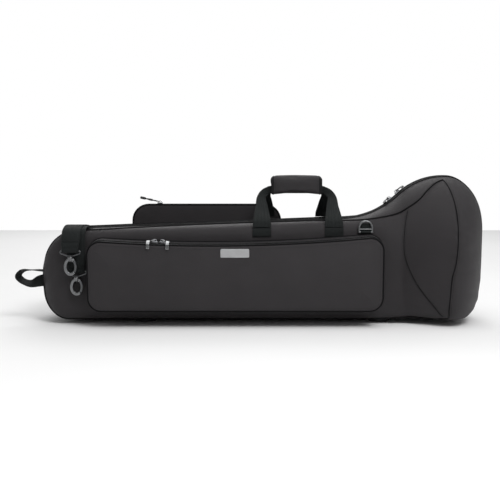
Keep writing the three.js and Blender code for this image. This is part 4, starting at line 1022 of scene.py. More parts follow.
class Skin:
    """The case's skin as something that lines and layers are laid on."""

    hoop_grid = (180, 130)
    layer_grid = (200, 150)
    layer_face = 3 * MM
    overrun = 2 * MM
    cut_edge = 0.35 * MM

    def __init__(self, form: CaseForm) -> None:
        """Builds the search tree once."""
        self.form = form
        self.tree = form.tree()

    def snap(self, spot: Vector, proud: float) -> tuple[Vector, Vector]:
        """The nearest point of the skin, moved out by proud, and its normal."""
        at, normal, _, _ = self.tree.find_nearest(spot)
        if normal.dot(at - Vector((at.x, 0.0, self.form.centre(at.x, 0.0)))) < 0:
            normal = -normal
        return at + normal * proud, normal

    def line(
        self, controls: Sequence[Vector], proud: float, spacing: float, closed: bool = False
    ) -> list[Vector]:
        """A line on the skin near control points."""
        return [self.snap(spot, proud)[0] for spot in Line.even(controls, spacing, closed)]

    def hoop(self, y: float, proud: float, spacing: float) -> list[Vector]:
        """The closed line on the skin at a distance y from the split.

        Args:
            y: The line's place in Y.
            proud: How far it is moved out.
            spacing: The distance between its points.

        Returns:
            The line's points in their order.
        """
        sheet = self.form.skin("hoop", proud, *ROUND, self.hoop_grid)
        Bench.cut(sheet, (0, y, 0), (0, math.copysign(1, -y), 0))
        shape = bmesh.new()
        shape.from_mesh(sheet.data)
        links: dict[int, list[int]] = {}
        for edge in (edge for edge in shape.edges if edge.is_boundary):
            a, b = edge.verts
            links.setdefault(a.index, []).append(b.index)
            links.setdefault(b.index, []).append(a.index)
        shape.verts.ensure_lookup_table()
        first = next(iter(links))
        order = [first]
        before = None
        while True:
            here = order[-1]
            onward = [spot for spot in links[here] if spot != before]
            if not onward or onward[0] == first:
                break
            before = here
            order.append(onward[0])
        chain = [shape.verts[i].co.copy() for i in order]
        shape.free()
        bpy.data.objects.remove(sheet)
        return Line.walk([*chain, chain[0]], spacing, closed=True)

    def layer(
        self,
        name: str,
        proud: float,
        thickness: float,
        low: Sequence[float],
        high: Sequence[float],
        upright: bool = False,
    ) -> bpy.types.Object:
        """A layer of cloth on the skin inside a box.

        Args:
            name: The layer's name.
            proud: Its outer face's distance from the skin.
            thickness: Its thickness.
            low: The box's lowest corner.
            high: The box's highest corner.
            upright: Whether its threads run round the section and not along X.

        Returns:
            The layer.
        """
        form = self.form
        first, last = max(low[0], form.narrow_end - proud), min(high[0], form.bell_end + proud)
        whole = last - first > form.length / 2
        span = None if whole else (first - self.overrun, last + self.overrun)
        columns, rows = self.layer_grid
        if not whole:
            columns = max(int((last - first) / self.layer_face), 8)
        sheet = form.skin(name, proud, *ROUND, (columns, rows), span=span)
        for i in range(3):
            away = [0.0, 0.0, 0.0]
            away[i] = 1.0
            Bench.cut(sheet, high, away)
            away[i] = -1.0
            Bench.cut(sheet, low, away)
        if upright:
            for corner in sheet.data.uv_layers.active.data:
                corner.uv = (corner.uv.y, corner.uv.x)
        Bench.modify(sheet, "SOLIDIFY", thickness=thickness, offset=-1.0)
        if not whole:
            Bench.modify(sheet, "BEVEL", width=self.cut_edge, segments=2, limit_method="ANGLE")
        return sheet


# Shared small parts


@dataclass(frozen=True)
class Stitching:
    """A row of lockstitches, which lie in line on the cloth."""

    pitch: float = 3.4 * MM
    length: float = 2.5 * MM
    radius: float = 0.28 * MM
    flat_share: float = 0.7

    def sew(
        self, name: str, body: str, line: Sequence[Vector], normals: Sequence[Vector]
    ) -> None:
        """Sews a row of stitches along a line, as one piece.

        Args:
            name: The row's name.
            body: The body that it rides.
            line: The line's points at any spacing.
            normals: The cloth's normal at each point.
        """
        Bench.start()
        bpy.ops.mesh.primitive_uv_sphere_add(segments=6, ring_count=4, radius=1.0)
        stitch = bpy.context.object
        with Bench.editing(stitch):
            height = self.radius * self.flat_share
            bpy.ops.transform.resize(value=(self.length / 2, self.radius, height))
        frames = []
        passed = 0.0
        due = self.pitch / 2
        for i in range(len(line) - 1):
            gap = (line[i + 1] - line[i]).length
            while gap > 0 and passed + gap >= due:
                share = (due - passed) / gap
                at = line[i].lerp(line[i + 1], share)
                along = (line[i + 1] - line[i]).normalized()
                up = normals[i].lerp(normals[i + 1], share).normalized()
                side = up.cross(along).normalized()
                up = along.cross(side)
                turn = Matrix((along, side, up)).transposed().to_4x4()
                frames.append(Matrix.Translation(at) @ turn)
                due += self.pitch
            passed += gap
        made = Bench.repeat(name, stitch, frames)
        made.data.polygons.foreach_set("use_smooth", [True] * len(made.data.polygons))
        Bench.dress(made, body, [Finish.THREAD])


@dataclass(frozen=True)
class ZipTeeth:
    """The visible loops of a zip's coil, along a line."""

    pitch: float = 2.2 * MM
    size: tuple[float, float, float] = (1.25 * MM, 1.5 * MM, 1.0 * MM)
    edge: float = 0.3 * MM

    def row(
        self, name: str, line: Sequence[Vector], up: Callable[[int], Vector], closed: bool
    ) -> bpy.types.Object:
        """Teeth along an evenly spaced line.

        Args:
            name: The row's name.
            line: Points a pitch apart.
            up: The direction away from the tape at a point's index.
            closed: Whether the line is a loop.

        Returns:
            The row as one mesh.
        """
        Bench.start()
        bpy.ops.mesh.primitive_cube_add(size=1.0)
        tooth = bpy.context.object
        with Bench.editing(tooth):
            bpy.ops.transform.resize(value=self.size)
            bpy.ops.mesh.bevel(offset=self.edge, segments=1)
        count = len(line)
        frames = []
        for i in range(count):
            ahead = line[(i + 1) % count] if closed or i + 1 < count else line[i]
            behind = line[i - 1] if closed or i > 0 else line[i]
            along = (ahead - behind).normalized()
            side = up(i).cross(along).normalized()
            turn = Matrix((along, side, along.cross(side))).transposed().to_4x4()
            frames.append(Matrix.Translation(line[i]) @ turn)
        return Bench.repeat(name, tooth, frames)


@dataclass(frozen=True)
class Ribbon:
    """A band of webbing with rounded edges, along a smooth path."""

    width: float = 38 * MM
    thickness: float = 2 * MM
    steps: int = 90
    edge_steps: int = 5

    def band(
        self,
        name: str,
        controls: Sequence[Vector],
        across: Callable[[Vector, float], Vector] = lambda tangent, share: Vector((1, 0, 0)),
        widths: Sequence[float] = (),
        thicknesses: Sequence[float] = (),
    ) -> bpy.types.Object:
        """The band.

        Args:
            name: Its name.
            controls: The points that its middle passes through.
            across: The direction across it, from its tangent and its share, or along X.
            widths: Its width at each control point, or none for one width.
            thicknesses: Its thickness at each control point, or none for one thickness.

        Returns:
            The closed band.
        """
        wide = list(widths) or [self.width] * len(controls)
        thick = list(thicknesses) or [self.thickness] * len(controls)
        rim = self.rim(self.edge_steps)

        def place(first: float, second: float) -> Vector:
            """The band's skin at shares along it and round it."""
            share = clamp(first)
            centre = Line.through(controls, share)
            step = 0.5 / self.steps
            ahead = Line.through(controls, min(share + step, 1.0))
            behind = Line.through(controls, max(share - step, 0.0))
            tangent = (ahead - behind).normalized()
            side = across(tangent, share).normalized()
            normal = side.cross(tangent).normalized()
            flat, lift = rim[int(round(second * len(rim))) % len(rim)]
            half_w = self.value(wide, share) / 2
            half_t = self.value(thick, share) / 2
            edge = math.copysign(half_t * math.sqrt(max(1 - lift * lift, 0.0)), flat)
            return centre + side * (flat * (half_w - half_t) + edge) + normal * lift * half_t

        piece = Bench.sheet(name, self.steps, len(rim), place)
        self.close(piece)
        return piece

    @staticmethod
    def value(values: Sequence[float], share: float) -> float:
        """A value between the control points' values."""
        spot = share * (len(values) - 1)
        low = min(int(spot), len(values) - 2)
        return mix(values[low], values[low + 1], spot - low)

    @staticmethod
    def rim(steps: int) -> list[tuple[float, float]]:
        """The section's outline: flat sides and rounded edges, as flat and lift shares."""
        points = []
        for i in range(steps + 1):
            angle = math.pi / 2 - math.pi * i / steps
            points.append((1.0, math.sin(angle)))
        points.extend((share, -1.0) for share in (0.5, 0.001, -0.5))
        for i in range(steps + 1):
            angle = -math.pi / 2 - math.pi * i / steps
            points.append((-1.0, math.sin(angle)))
        points.extend((share, 1.0) for share in (-0.5, 0.001, 0.5))
        return points

    @staticmethod
    def close(piece: bpy.types.Object) -> None:
        """Closes the band's two ends and points its faces outwards."""
        with Bench.editing(piece):
            bpy.ops.mesh.fill_holes(sides=0)
            bpy.ops.mesh.select_all(action="SELECT")
            bpy.ops.mesh.normals_make_consistent(inside=False)
        bpy.ops.object.shade_smooth_by_angle(angle=math.radians(50))


# Sub-assemblies


def at(x: float, y: float, z: float) -> Vector:
    """A point from millimetres."""
    return Vector((x * MM, y * MM, z * MM))


@dataclass
class Halves:
    """The two padded halves: cloth outside, plush lining inside, bound at the split."""

    skin: Skin
    split: float = 0.4 * MM
    wall: float = 8.6 * MM
    cord_radius: float = 1.7 * MM
    rim_radius: float = 1.0 * MM
    seam_radius: float = 0.6 * MM
    stitch_inset: float = 4.2 * MM
    binding_radius: float = 1.9 * MM
    binding_gap: float = 0.15 * MM
    binding_depth: float = 9.5 * MM
    soft: float = 0.5 * MM
    cord_proud: float = 0.25 * MM
    seam_proud: float = 0.1 * MM
    seam_inset: float = 3.2 * MM
    stitch_proud: float = 0.05 * MM
    line_step: float = 4 * MM

    def build(self) -> None:
        """Builds both halves with their piping and seams."""
        for side, body in ((-1, "front_half"), (1, "rear_half")):
            self.shell(side, body)
            self.piping(side, body)
            self.bell_seams(side, body)
            self.binding(side, body)

    def shell(self, side: int, body: str) -> None:
        """One half's shell."""
        start = math.pi / 2 if side < 0 else -math.pi / 2
        over = math.radians(3)
        sheet = self.skin.form.skin(
            f"{body}_cloth", 0.0, start - over, start + math.pi + over, (230, 130), soft=self.soft
        )
        Bench.cut(sheet, (0, side * self.split, 0), (0, -side, 0))
        Bench.modify(
            sheet,
            "SOLIDIFY",
            thickness=self.wall,
            offset=-1.0,
            material_offset=1,
            material_offset_rim=2,
        )
        Bench.dress(
            sheet, body, [Finish.NYLON, Finish.LINING, Finish.BINDING], [body], fill=0.8
        )

    def outline(self, side: int) -> tuple[list[Vector], list[Vector]]:
        """One half's piping, from the bell's floor round to its top, and its rim seam."""
        top = [
            (-436, -34, 128), (-429, -46, 150), (-412, -52, 172), (-380, -56, 188), (-330, -57, 194),
            (-290, -56, 197), (-240, -50, 202), (-147, -43, 206), (-74, -38, 208), (0, -37, 211),
            (105, -42, 215), (199, -53, 217), (245, -60, 219), (278, -59, 225), (302, -56, 231),
            (318, -57, 238), (332, -60, 247), (346, -62, 257), (355, -61, 265), (363, -58, 275),
            (373, -53, 284), (382, -48, 292), (394, -42, 298), (404, -38, 301),
        ]
        rim = [
            (408, -59, 291), (411, -77, 278), (415, -101, 250), (417, -115, 219), (417, -123, 187),
            (416, -125, 159), (413, -124, 130), (408, -121, 107), (406, -119, 74), (405, -113, 40),
            (406, -100, 16),
        ]
        floor = [
            (380, -84, 9), (320, -68, 9), (240, -62, 9), (100, -62, 9), (-80, -62, 9), (-240, -62, 9),
            (-340, -62, 10), (-385, -60, 18), (-415, -56, 36), (-433, -48, 62), (-438, -38, 94),
        ]
        piping = [at(x, -side * y, z) for x, y, z in floor + top]
        seam = [at(x, -side * y, z) for x, y, z in top[-1:] + rim + floor[:1]]
        return piping, seam

    def piping(self, side: int, body: str) -> None:
        """The cord sewn in round the face panel, and the plain seam at the rim."""
        edge, rim = self.outline(side)
        for name, controls, radius in (
            ("piping", edge, self.cord_radius),
            ("rim_seam", rim, self.rim_radius),
        ):
            line = self.skin.line(controls, self.cord_proud, 5 * MM)
            cord = Bench.cord(f"{body}_{name}", line, radius)
            Bench.dress(cord, body, [Finish.PIPING])
            self.row_beside(f"{body}_{name}_stitches", controls, side, body)

    def row_beside(self, name: str, controls: Sequence[Vector], side: int, body: str) -> None:
        """The stitches that run beside a seam, on the face panel."""
        row = self.skin.line(controls, 0.0, self.line_step)
        spots, normals = [], []
        for i in range(1, len(row) - 1):
            _, normal = self.skin.snap(row[i], 0)
            along = (row[i + 1] - row[i - 1]).normalized()
            away = normal.cross(along).normalized() * (self.stitch_inset * -side)
            moved, up = self.skin.snap(row[i] + away, self.stitch_proud)
            spots.append(moved)
            normals.append(up)
        Stitching().sew(name, body, spots, normals)

    def bell_seams(self, side: int, body: str) -> None:
        """The curved seam where the neck's panel meets the bell's."""
        spots = [
            (327, -62, 238), (322, -69, 216), (318, -75, 183), (319, -77, 150), (324, -79, 131),
            (332, -83, 111), (345, -89, 86), (361, -96, 63), (379, -101, 41), (396, -98, 21),
        ]
        controls = [at(x, -side * y, z) for x, y, z in spots]
        line = self.skin.line(controls, self.seam_proud, self.line_step)
        seam = Bench.cord(f"{body}_bell_seam", line, self.seam_radius, sides=1)
        Bench.dress(seam, body, [Finish.PIPING])
        for shift, name in ((-self.seam_inset, "narrow"), (self.seam_inset, "bell")):
            beside = [spot + Vector((shift, 0, 0)) for spot in line]
            moved, normals = zip(*(self.skin.snap(spot, self.stitch_proud) for spot in beside))
            Stitching().sew(f"{body}_bell_seam_stitches_{name}", body, moved, normals)

    def binding(self, side: int, body: str) -> None:
        """The rolled tape that covers the lining's edge at the split."""
        place = side * (self.binding_radius + self.binding_gap)
        line = self.skin.hoop(place, -self.binding_depth, 6 * MM)
        cord = Bench.cord(f"{body}_binding", line, self.binding_radius, closed=True)
        Bench.dress(cord, body, [Finish.BINDING])


@dataclass
class MainZip:
    """The zip over the top and both ends, and the cloth hinge under the case."""

    skin: Skin
    tape: float = 15 * MM
    gap: float = 0.15 * MM
    tape_proud: float = 1.3 * MM
    tape_thickness: float = 0.95 * MM
    coil_place: float = 1.1 * MM
    coil_proud: float = 2.1 * MM
    coil_radius: float = 0.85 * MM
    coil_low: float = 12 * MM
    leaf_gap: float = 0.3 * MM
    leaf_proud: float = 1.4 * MM
    leaf_thickness: float = 1.0 * MM
    stitch_place: float = 12 * MM
    stitch_proud: float = 1.32 * MM
    hinge_inset: float = 62 * MM
    middle: float = 113 * MM

    def build(self) -> None:
        """Builds both sides of the zip and of the hinge."""
        form = self.skin.form
        low_x, high_x = form.narrow_end + self.hinge_inset, form.bell_end - self.hinge_inset
        for side, body, name in ((-1, "front_half", "front"), (1, "rear_half", "rear")):
            near, far = sorted((side * self.gap, side * self.tape))
            tape = self.skin.layer(
                f"{name}_zip_tape_cloth",
                self.tape_proud,
                self.tape_thickness,
                (-BEYOND, near, -BEYOND),
                (BEYOND, far, BEYOND),
            )
            self.part(tape, low_x, high_x)
            hoop = self.skin.hoop(side * self.coil_place, self.coil_proud, ZipTeeth.pitch)
            hoop = [spot for spot in self.above_hinge(hoop, low_x, high_x) if spot.z > self.coil_low]
            coil = Bench.cord(f"{name}_zip_coil", hoop, self.coil_radius, sides=1)
            teeth = ZipTeeth().row(
                f"{name}_zip_teeth",
                hoop,
                lambda i, hoop=hoop: self.skin.snap(hoop[i], 0)[1],
                closed=False,
            )
            Bench.dress(tape, body, [Finish.TAPE], [f"{name}_zip_tape"])
            Bench.dress(coil, body, [Finish.COIL])
            Bench.dress(teeth, body, [Finish.TEETH])
            near, far = sorted((side * self.leaf_gap, side * self.tape))
            leaf = self.skin.layer(
                f"{name}_hinge_cloth",
                self.leaf_proud,
                self.leaf_thickness,
                (low_x + self.leaf_gap, near, -BEYOND),
                (high_x - self.leaf_gap, far, self.middle),
            )
            Bench.dress(leaf, body, [Finish.WEBBING], [f"{name}_hinge_leaf"])
            self.tape_stitches(side, body, name, low_x, high_x)

    def tape_stitches(self, side: int, body: str, name: str, low_x: float, high_x: float) -> None:
        """The row that sews the tape to the cloth."""
        hoop = self.skin.hoop(side * self.stitch_place, self.stitch_proud, 4 * MM)
        hoop = self.above_hinge(hoop, low_x, high_x)
        normals = [self.skin.snap(spot, 0)[1] for spot in hoop]
        Stitching().sew(f"{name}_tape_stitches", body, hoop, normals)

    def above_hinge(self, hoop: list[Vector], low_x: float, high_x: float) -> list[Vector]:
        """The part of a closed line that leaves out the hinge's stretch under the case."""
        under = [spot.z < self.middle and low_x < spot.x < high_x for spot in hoop]
        start = next(i for i in range(len(hoop)) if under[i - 1] and not under[i])
        turned = hoop[start:] + hoop[:start]
        hidden = under[start:] + under[:start]
        return [spot for spot, gone in zip(turned, hidden) if not gone]

    def part(self, piece: bpy.types.Object, low_x: float, high_x: float) -> None:
        """Takes out the hinge's stretch of a tape."""
        with Bench.editing(piece):
            for x in (low_x, high_x):
                bpy.ops.mesh.select_all(action="SELECT")
                bpy.ops.mesh.bisect(plane_co=(x, 0, 0), plane_no=(1, 0, 0))
            bpy.ops.mesh.select_mode(type="FACE")
        for face in piece.data.polygons:
            centre = face.center
            face.select = centre.z < self.middle and low_x < centre.x < high_x
        bpy.ops.object.mode_set(mode="EDIT")
        bpy.ops.mesh.delete(type="FACE")
        bpy.ops.mesh.select_all(action="SELECT")
        bpy.ops.mesh.fill_holes(sides=0)
        bpy.ops.mesh.select_mode(type="VERT")
        bpy.ops.object.mode_set(mode="OBJECT")


@dataclass(frozen=True)
class PocketShape:
    """A pocket's outline: straight sides and bottom under a top that may sag."""

    left: float
    right: float
    bottom: float
    height: float
    corner: float
    sag_x: float = 0.0
    sag_radius: float = 1e6
    least_corner: float = 0.5 * MM
    coil_outset: float = 1.0 * MM
    coil_radius: float = 0.85 * MM

    def top(self, x: float, outset: float = 0.0) -> float:
        """The top edge's height at x."""
        radius = self.sag_radius - outset
        centre = self.bottom + self.height + self.sag_radius
        return centre - math.sqrt(radius * radius - (x - self.sag_x) ** 2)

    def points(self, outset: float) -> list[tuple[float, float]]:
        """The outline, moved out by outset, with its top and bottom points in pairs.

        Args:
            outset: How far it is moved out.

        Returns:
            X and Z from the lower left corner's end, anticlockwise seen from the front.
        """
        corner = max(self.corner + outset, self.least_corner)
        left, right = self.left - outset, self.right + outset
        bottom = self.bottom - outset
        inner_l, inner_r, low = left + corner, right - corner, bottom + corner
        high_l, high_r = self.top(inner_l, outset) - corner, self.top(inner_r, outset) - corner
        arc, side, span = 8, 8, 48

        def bend(x: float, z: float, start: float) -> list[tuple[float, float]]:
            """A corner's arc round its centre, without the arc's two ends."""
            turns = [start + math.pi / 2 * i / arc for i in range(1, arc)]
            return [(x + corner * math.cos(turn), z + corner * math.sin(turn)) for turn in turns]

        points = [(mix(inner_l, inner_r, i / span), bottom) for i in range(span + 1)]
        points += bend(inner_r, low, -math.pi / 2)
        points += [(right, mix(low, high_r, i / side)) for i in range(side + 1)]
        points += bend(inner_r, high_r, 0.0)
        across = [mix(inner_r, inner_l, i / span) for i in range(span + 1)]
        points += [(x, self.top(x, outset)) for x in across]
        points += bend(inner_l, high_l, math.pi / 2)
        points += [(left, mix(high_l, low, i / side)) for i in range(side + 1)]
        points += bend(inner_l, low, math.pi)
        return points

    def line(self, y: float, outset: float) -> list[Vector]:
        """The outline at a place in Y, moved out by outset."""
        return [Vector((x, y, z)) for x, z in self.points(outset)]

    def coil(self, name: str, body: str, y: float, start: float) -> list[Vector]:
        """Builds a half coil, from the right side over the top to the left.

        Args:
            name: The name of the half zip.
            body: The body that it rides.
            y: Its place in Y.
            start: The height over the pocket's bottom where it starts and ends.

        Returns:
            Its points.
        """
        outline = self.line(y, self.coil_outset)
        low = self.bottom + start
        first = next(i for i, spot in enumerate(outline) if spot.z >= low)
        turned = outline[first:] + outline[:first]
        last = next(i for i, spot in enumerate(turned) if spot.z < low)
        cord = Bench.cord(f"{name}_coil", turned[:last], self.coil_radius, sides=1)
        Bench.dress(cord, body, [Finish.COIL], [f"{name}_zip"])
        return turned[:last]

    def core(self, spot: tuple[float, float]) -> tuple[float, float]:
        """The point of the pocket's middle line that a point of its outline shrinks to."""
        half = self.height / 2
        low, high = self.left + half, self.right - half
        x = min(max(spot[0], low), high)
        return x, self.bottom + half


@dataclass(frozen=True)
class Trim:
    """The piping and the stitches round a cover's edge."""

    piping_inset: float
    piping_drop: float
    piping_radius: float
    stitch_inset: float
    stitch_proud: float = 0.1 * MM


@dataclass
class Tray:
    """A pocket's soft cover: side walls, a rounded edge and a crowned face."""

    shape: PocketShape
    open_y: float
    depth: float
    side: int
    edge: float = 7 * MM
    edge_steps: int = 5
    face_steps: int = 14
    weld: float = 0.3 * MM
    wall: float = 2.6 * MM
    crown: float = 5.5 * MM
    shoulder: float = 62 * MM
    shoulder_share: float = 0.35
    ripple: float = 0.8 * MM
    ripple_fade: float = 25 * MM

    def build(self, name: str) -> bpy.types.Object:
        """The cover, with its cloth outside and its lining inside.

        Args:
            name: The piece's name.

        Returns:
            The closed piece.
        """
        front = self.open_y + self.side * self.depth
        rings: list[tuple[float, float]] = [(0.0, self.open_y), (0.0, front - self.side * self.edge)]
        for i in range(1, self.edge_steps + 1):
            angle = math.pi / 2 * i / self.edge_steps
            y = front - self.side * self.edge * (1 - math.sin(angle))
            rings.append((-self.edge * (1 - math.cos(angle)), y))
        outlines = [self.shape.points(outset) for outset, _ in rings]
        rim_points = outlines[-1]
        total = len(rings) + self.face_steps
        count = len(rim_points)

        def place(first: float, second: float) -> Vector:
            """The cover's outer skin."""
            index = int(round(first * count)) % count
            ring = int(round(second * (total - 1)))
            if ring < len(rings):
                x, z = outlines[ring][index]
                return Vector((x, rings[ring][1], z))
            share = (ring - len(rings) + 1) / self.face_steps
            x0, z0 = rim_points[index]
            x1, z1 = self.shape.core(rim_points[index])
            x, z = mix(x0, x1, share), mix(z0, z1, share)
            return Vector((x, front + self.side * self.rise(x, z), z))

        piece = Bench.sheet(name, count, total - 1, place, flip=self.side > 0)
        Bench.merge(piece, self.weld)
        Bench.box_map(piece)
        Bench.modify(
            piece,
            "SOLIDIFY",
            thickness=self.wall,
            offset=-1.0,
            material_offset=1,
            material_offset_rim=2,
        )
        return piece

    def dress(self, body: str, fill: float, trim: Trim) -> None:
        """Builds the cover with its piping and its row of stitches.

        Args:
            body: The body that they ride, which also names them.
            fill: How tight the cover is.
            trim: The piping and the stitches.
        """
        finishes = [Finish.NYLON, Finish.LINING, Finish.BINDING]
        Bench.dress(self.build(f"{body}_face"), body, finishes, [f"{body}_cover"], fill=fill)
        line = self.edge_line(-trim.piping_inset, self.depth - trim.piping_drop)
        cord = Bench.cord(f"{body}_piping", line, trim.piping_radius, closed=True)
        Bench.dress(cord, body, [Finish.PIPING])
        row = self.edge_line(-trim.stitch_inset, self.depth + trim.stitch_proud)
        row.append(row[0])
        normals = [Vector((0, self.side, 0))] * len(row)
        Stitching().sew(f"{body}_stitches", body, row, normals)

    def rise(self, x: float, z: float) -> float:
        """How far the stuffed face stands out at a place, with its soft ripples."""
        shape = self.shape
        inside = min(
            x - shape.left, shape.right - x, z - shape.bottom, shape.top(x) - z, self.shoulder
        )
        depth = max(inside - self.edge, 0.0)
        low, high = -self.shoulder_share * self.shoulder, self.shoulder - self.edge
        swell = ease(depth, low, high) - ease(0.0, low, high)
        along, upward, seed = 11, 17, 0.3
        wave = noise.noise(Vector((x * along, seed, z * upward))) * min(depth / self.ripple_fade, 1)
        return self.crown * swell + self.ripple * wave

    def edge_line(self, outset: float, lift: float) -> list[Vector]:
        """A line round the cover's edge, at an outset and a height over its open side."""
        return self.shape.line(self.open_y + self.side * lift, outset)


@dataclass
class FrontPocket:
    """The accessory pocket: sewn gusset, zipped cover, piping and stitching."""

    shape: PocketShape
    gusset_y: float = -97.0 * MM
    cover_y: float = -97.6 * MM
    cover_depth: float = 18.4 * MM
    root_y: float = -75.2 * MM
    band: float = 2.6 * MM
    root_drop: float = 0.9 * MM
    root_outset: float = 3.4 * MM
    root_radius: float = 1.7 * MM
    coil_lift: float = 0.9 * MM
    coil_start: float = 14 * MM
    tooth: tuple[float, float, float] = (1.2 * MM, 1.3 * MM, 0.9 * MM)
    tooth_lift: float = 0.9 * MM
    trim: Trim = Trim(1.2 * MM, 3.2 * MM, 2.1 * MM, 7.6 * MM)

    def build(self) -> None:
        """Builds the pocket."""
        self.gusset()
        Tray(self.shape, self.cover_y, self.cover_depth, -1).dress("front_pocket", 0.6, self.trim)
        self.coils()

    def gusset(self) -> None:
        """The band between the case and the zip, which bulges a little."""
        levels = [
            (-0.2, 3.0), (-2.0, 3.3), (-6.0, 2.9), (-11.0, 1.9), (-16.0, 0.6), (-20.0, 0.0), (-21.8, 0.0),
        ]
        outlines = [self.shape.points(outset * MM) for _, outset in levels]
        count = len(outlines[0])

        def place(first: float, second: float) -> Vector:
            """The band's outer skin."""
            index = int(round(first * count)) % count
            ring = int(round(second * (len(levels) - 1)))
            x, z = outlines[ring][index]
            return Vector((x, self.root_y + levels[ring][0] * MM, z))

        band = Bench.sheet("front_pocket_band", count, len(levels) - 1, place)
        Bench.modify(band, "SOLIDIFY", thickness=self.band, offset=-1.0, material_offset=1)
        # The band takes the darker copy of the nylon, which is painted shade for the shadow under the
        # cover's edge.
        Bench.dress(
            band, "front_half", [Finish.PANEL, Finish.LINING], ["front_pocket_gusset"], fill=0.5
        )
        root = self.shape.line(self.root_y - self.root_drop, self.root_outset)
        cord = Bench.cord("front_pocket_root_piping", root, self.root_radius, closed=True)
        Bench.dress(cord, "front_half", [Finish.PIPING])

    def coils(self) -> None:
        """Both half coils with their teeth."""
        for name, body, y in (
            ("front_pocket_inner", "front_half", self.gusset_y + self.coil_lift),
            ("front_pocket_outer", "front_pocket", self.cover_y - self.coil_lift),
        ):
            run = self.shape.coil(name, body, y, self.coil_start)
            steps = Line.walk(run, ZipTeeth.pitch)
            teeth = ZipTeeth(size=self.tooth).row(
                f"{name}_teeth",
                [spot + self.away(spot) * self.tooth_lift for spot in steps],
                lambda i, steps=steps: self.away(steps[i]),
                closed=False,
            )
            Bench.dress(teeth, body, [Finish.TEETH])

    def away(self, spot: Vector) -> Vector:
        """The direction out of the pocket's outline at a point on it."""
        shape = self.shape
        x = min(max(spot.x, shape.left + shape.corner), shape.right - shape.corner)
        z = min(max(spot.z, shape.bottom + shape.corner), shape.bottom + shape.height - shape.corner)
        way = Vector((spot.x - x, 0, spot.z - z))
        return way.normalized() if way.length > 1e-6 else Vector((0, 0, 1))


@dataclass
class MusicPocket:
    """The flat pocket on the rear: panel, zipped cover and piping."""

    shape: PocketShape
    panel_y: float = 75.3 * MM
    panel_depth: float = 2.9 * MM
    panel_thickness: float = 2.7 * MM
    panel_edge: float = 0.8 * MM
    panel_rings: int = 12
    weld: float = 0.3 * MM
    piping_inset: float = 0.9 * MM
    piping_radius: float = 1.5 * MM
    cover_y: float = 78.9 * MM
    depth: float = 21 * MM
    edge: float = 6 * MM
    inner_coil_y: float = 77.3 * MM
    outer_coil_y: float = 79.9 * MM
    trim: Trim = Trim(1.0 * MM, 2.8 * MM, 1.9 * MM, 7.0 * MM)

    def build(self) -> None:
        """Builds the pocket."""
        self.panel()
        tray = Tray(self.shape, self.cover_y, self.depth, 1, edge=self.edge)
        tray.dress("music_pocket", 0.5, self.trim)
        self.coils()

    def panel(self) -> None:
        """The flat panel behind the cover."""
        outline = self.shape.points(0.0)
        count = len(outline)

        def place(first: float, second: float) -> Vector:
            """The panel's outer face."""
            index = int(round(first * count)) % count
            share = round(second * self.panel_rings) / self.panel_rings
            x0, z0 = outline[index]
            x1, z1 = self.shape.core(outline[index])
            y = self.panel_y + self.panel_depth
            return Vector((mix(x0, x1, share), y, mix(z0, z1, share)))

        panel = Bench.sheet("music_pocket_back", count, self.panel_rings, place, flip=True)
        Bench.merge(panel, self.weld)
        Bench.box_map(panel)
        Bench.modify(panel, "SOLIDIFY", thickness=self.panel_thickness, offset=-1.0)
        Bench.modify(panel, "BEVEL", width=self.panel_edge, segments=2, limit_method="ANGLE")
        Bench.dress(panel, "rear_half", [Finish.NYLON], ["music_pocket_panel"])
        edge = self.shape.line(self.panel_y + self.piping_inset, -self.piping_inset)
        cord = Bench.cord("music_pocket_back_piping", edge, self.piping_radius, closed=True)
        Bench.dress(cord, "rear_half", [Finish.PIPING])

    def coils(self) -> None:
        """Both half coils."""
        for name, body, y in (
            ("music_inner", "rear_half", self.inner_coil_y),
            ("music_outer", "music_pocket", self.outer_coil_y),
        ):
            self.shape.coil(name, body, y, self.shape.corner)


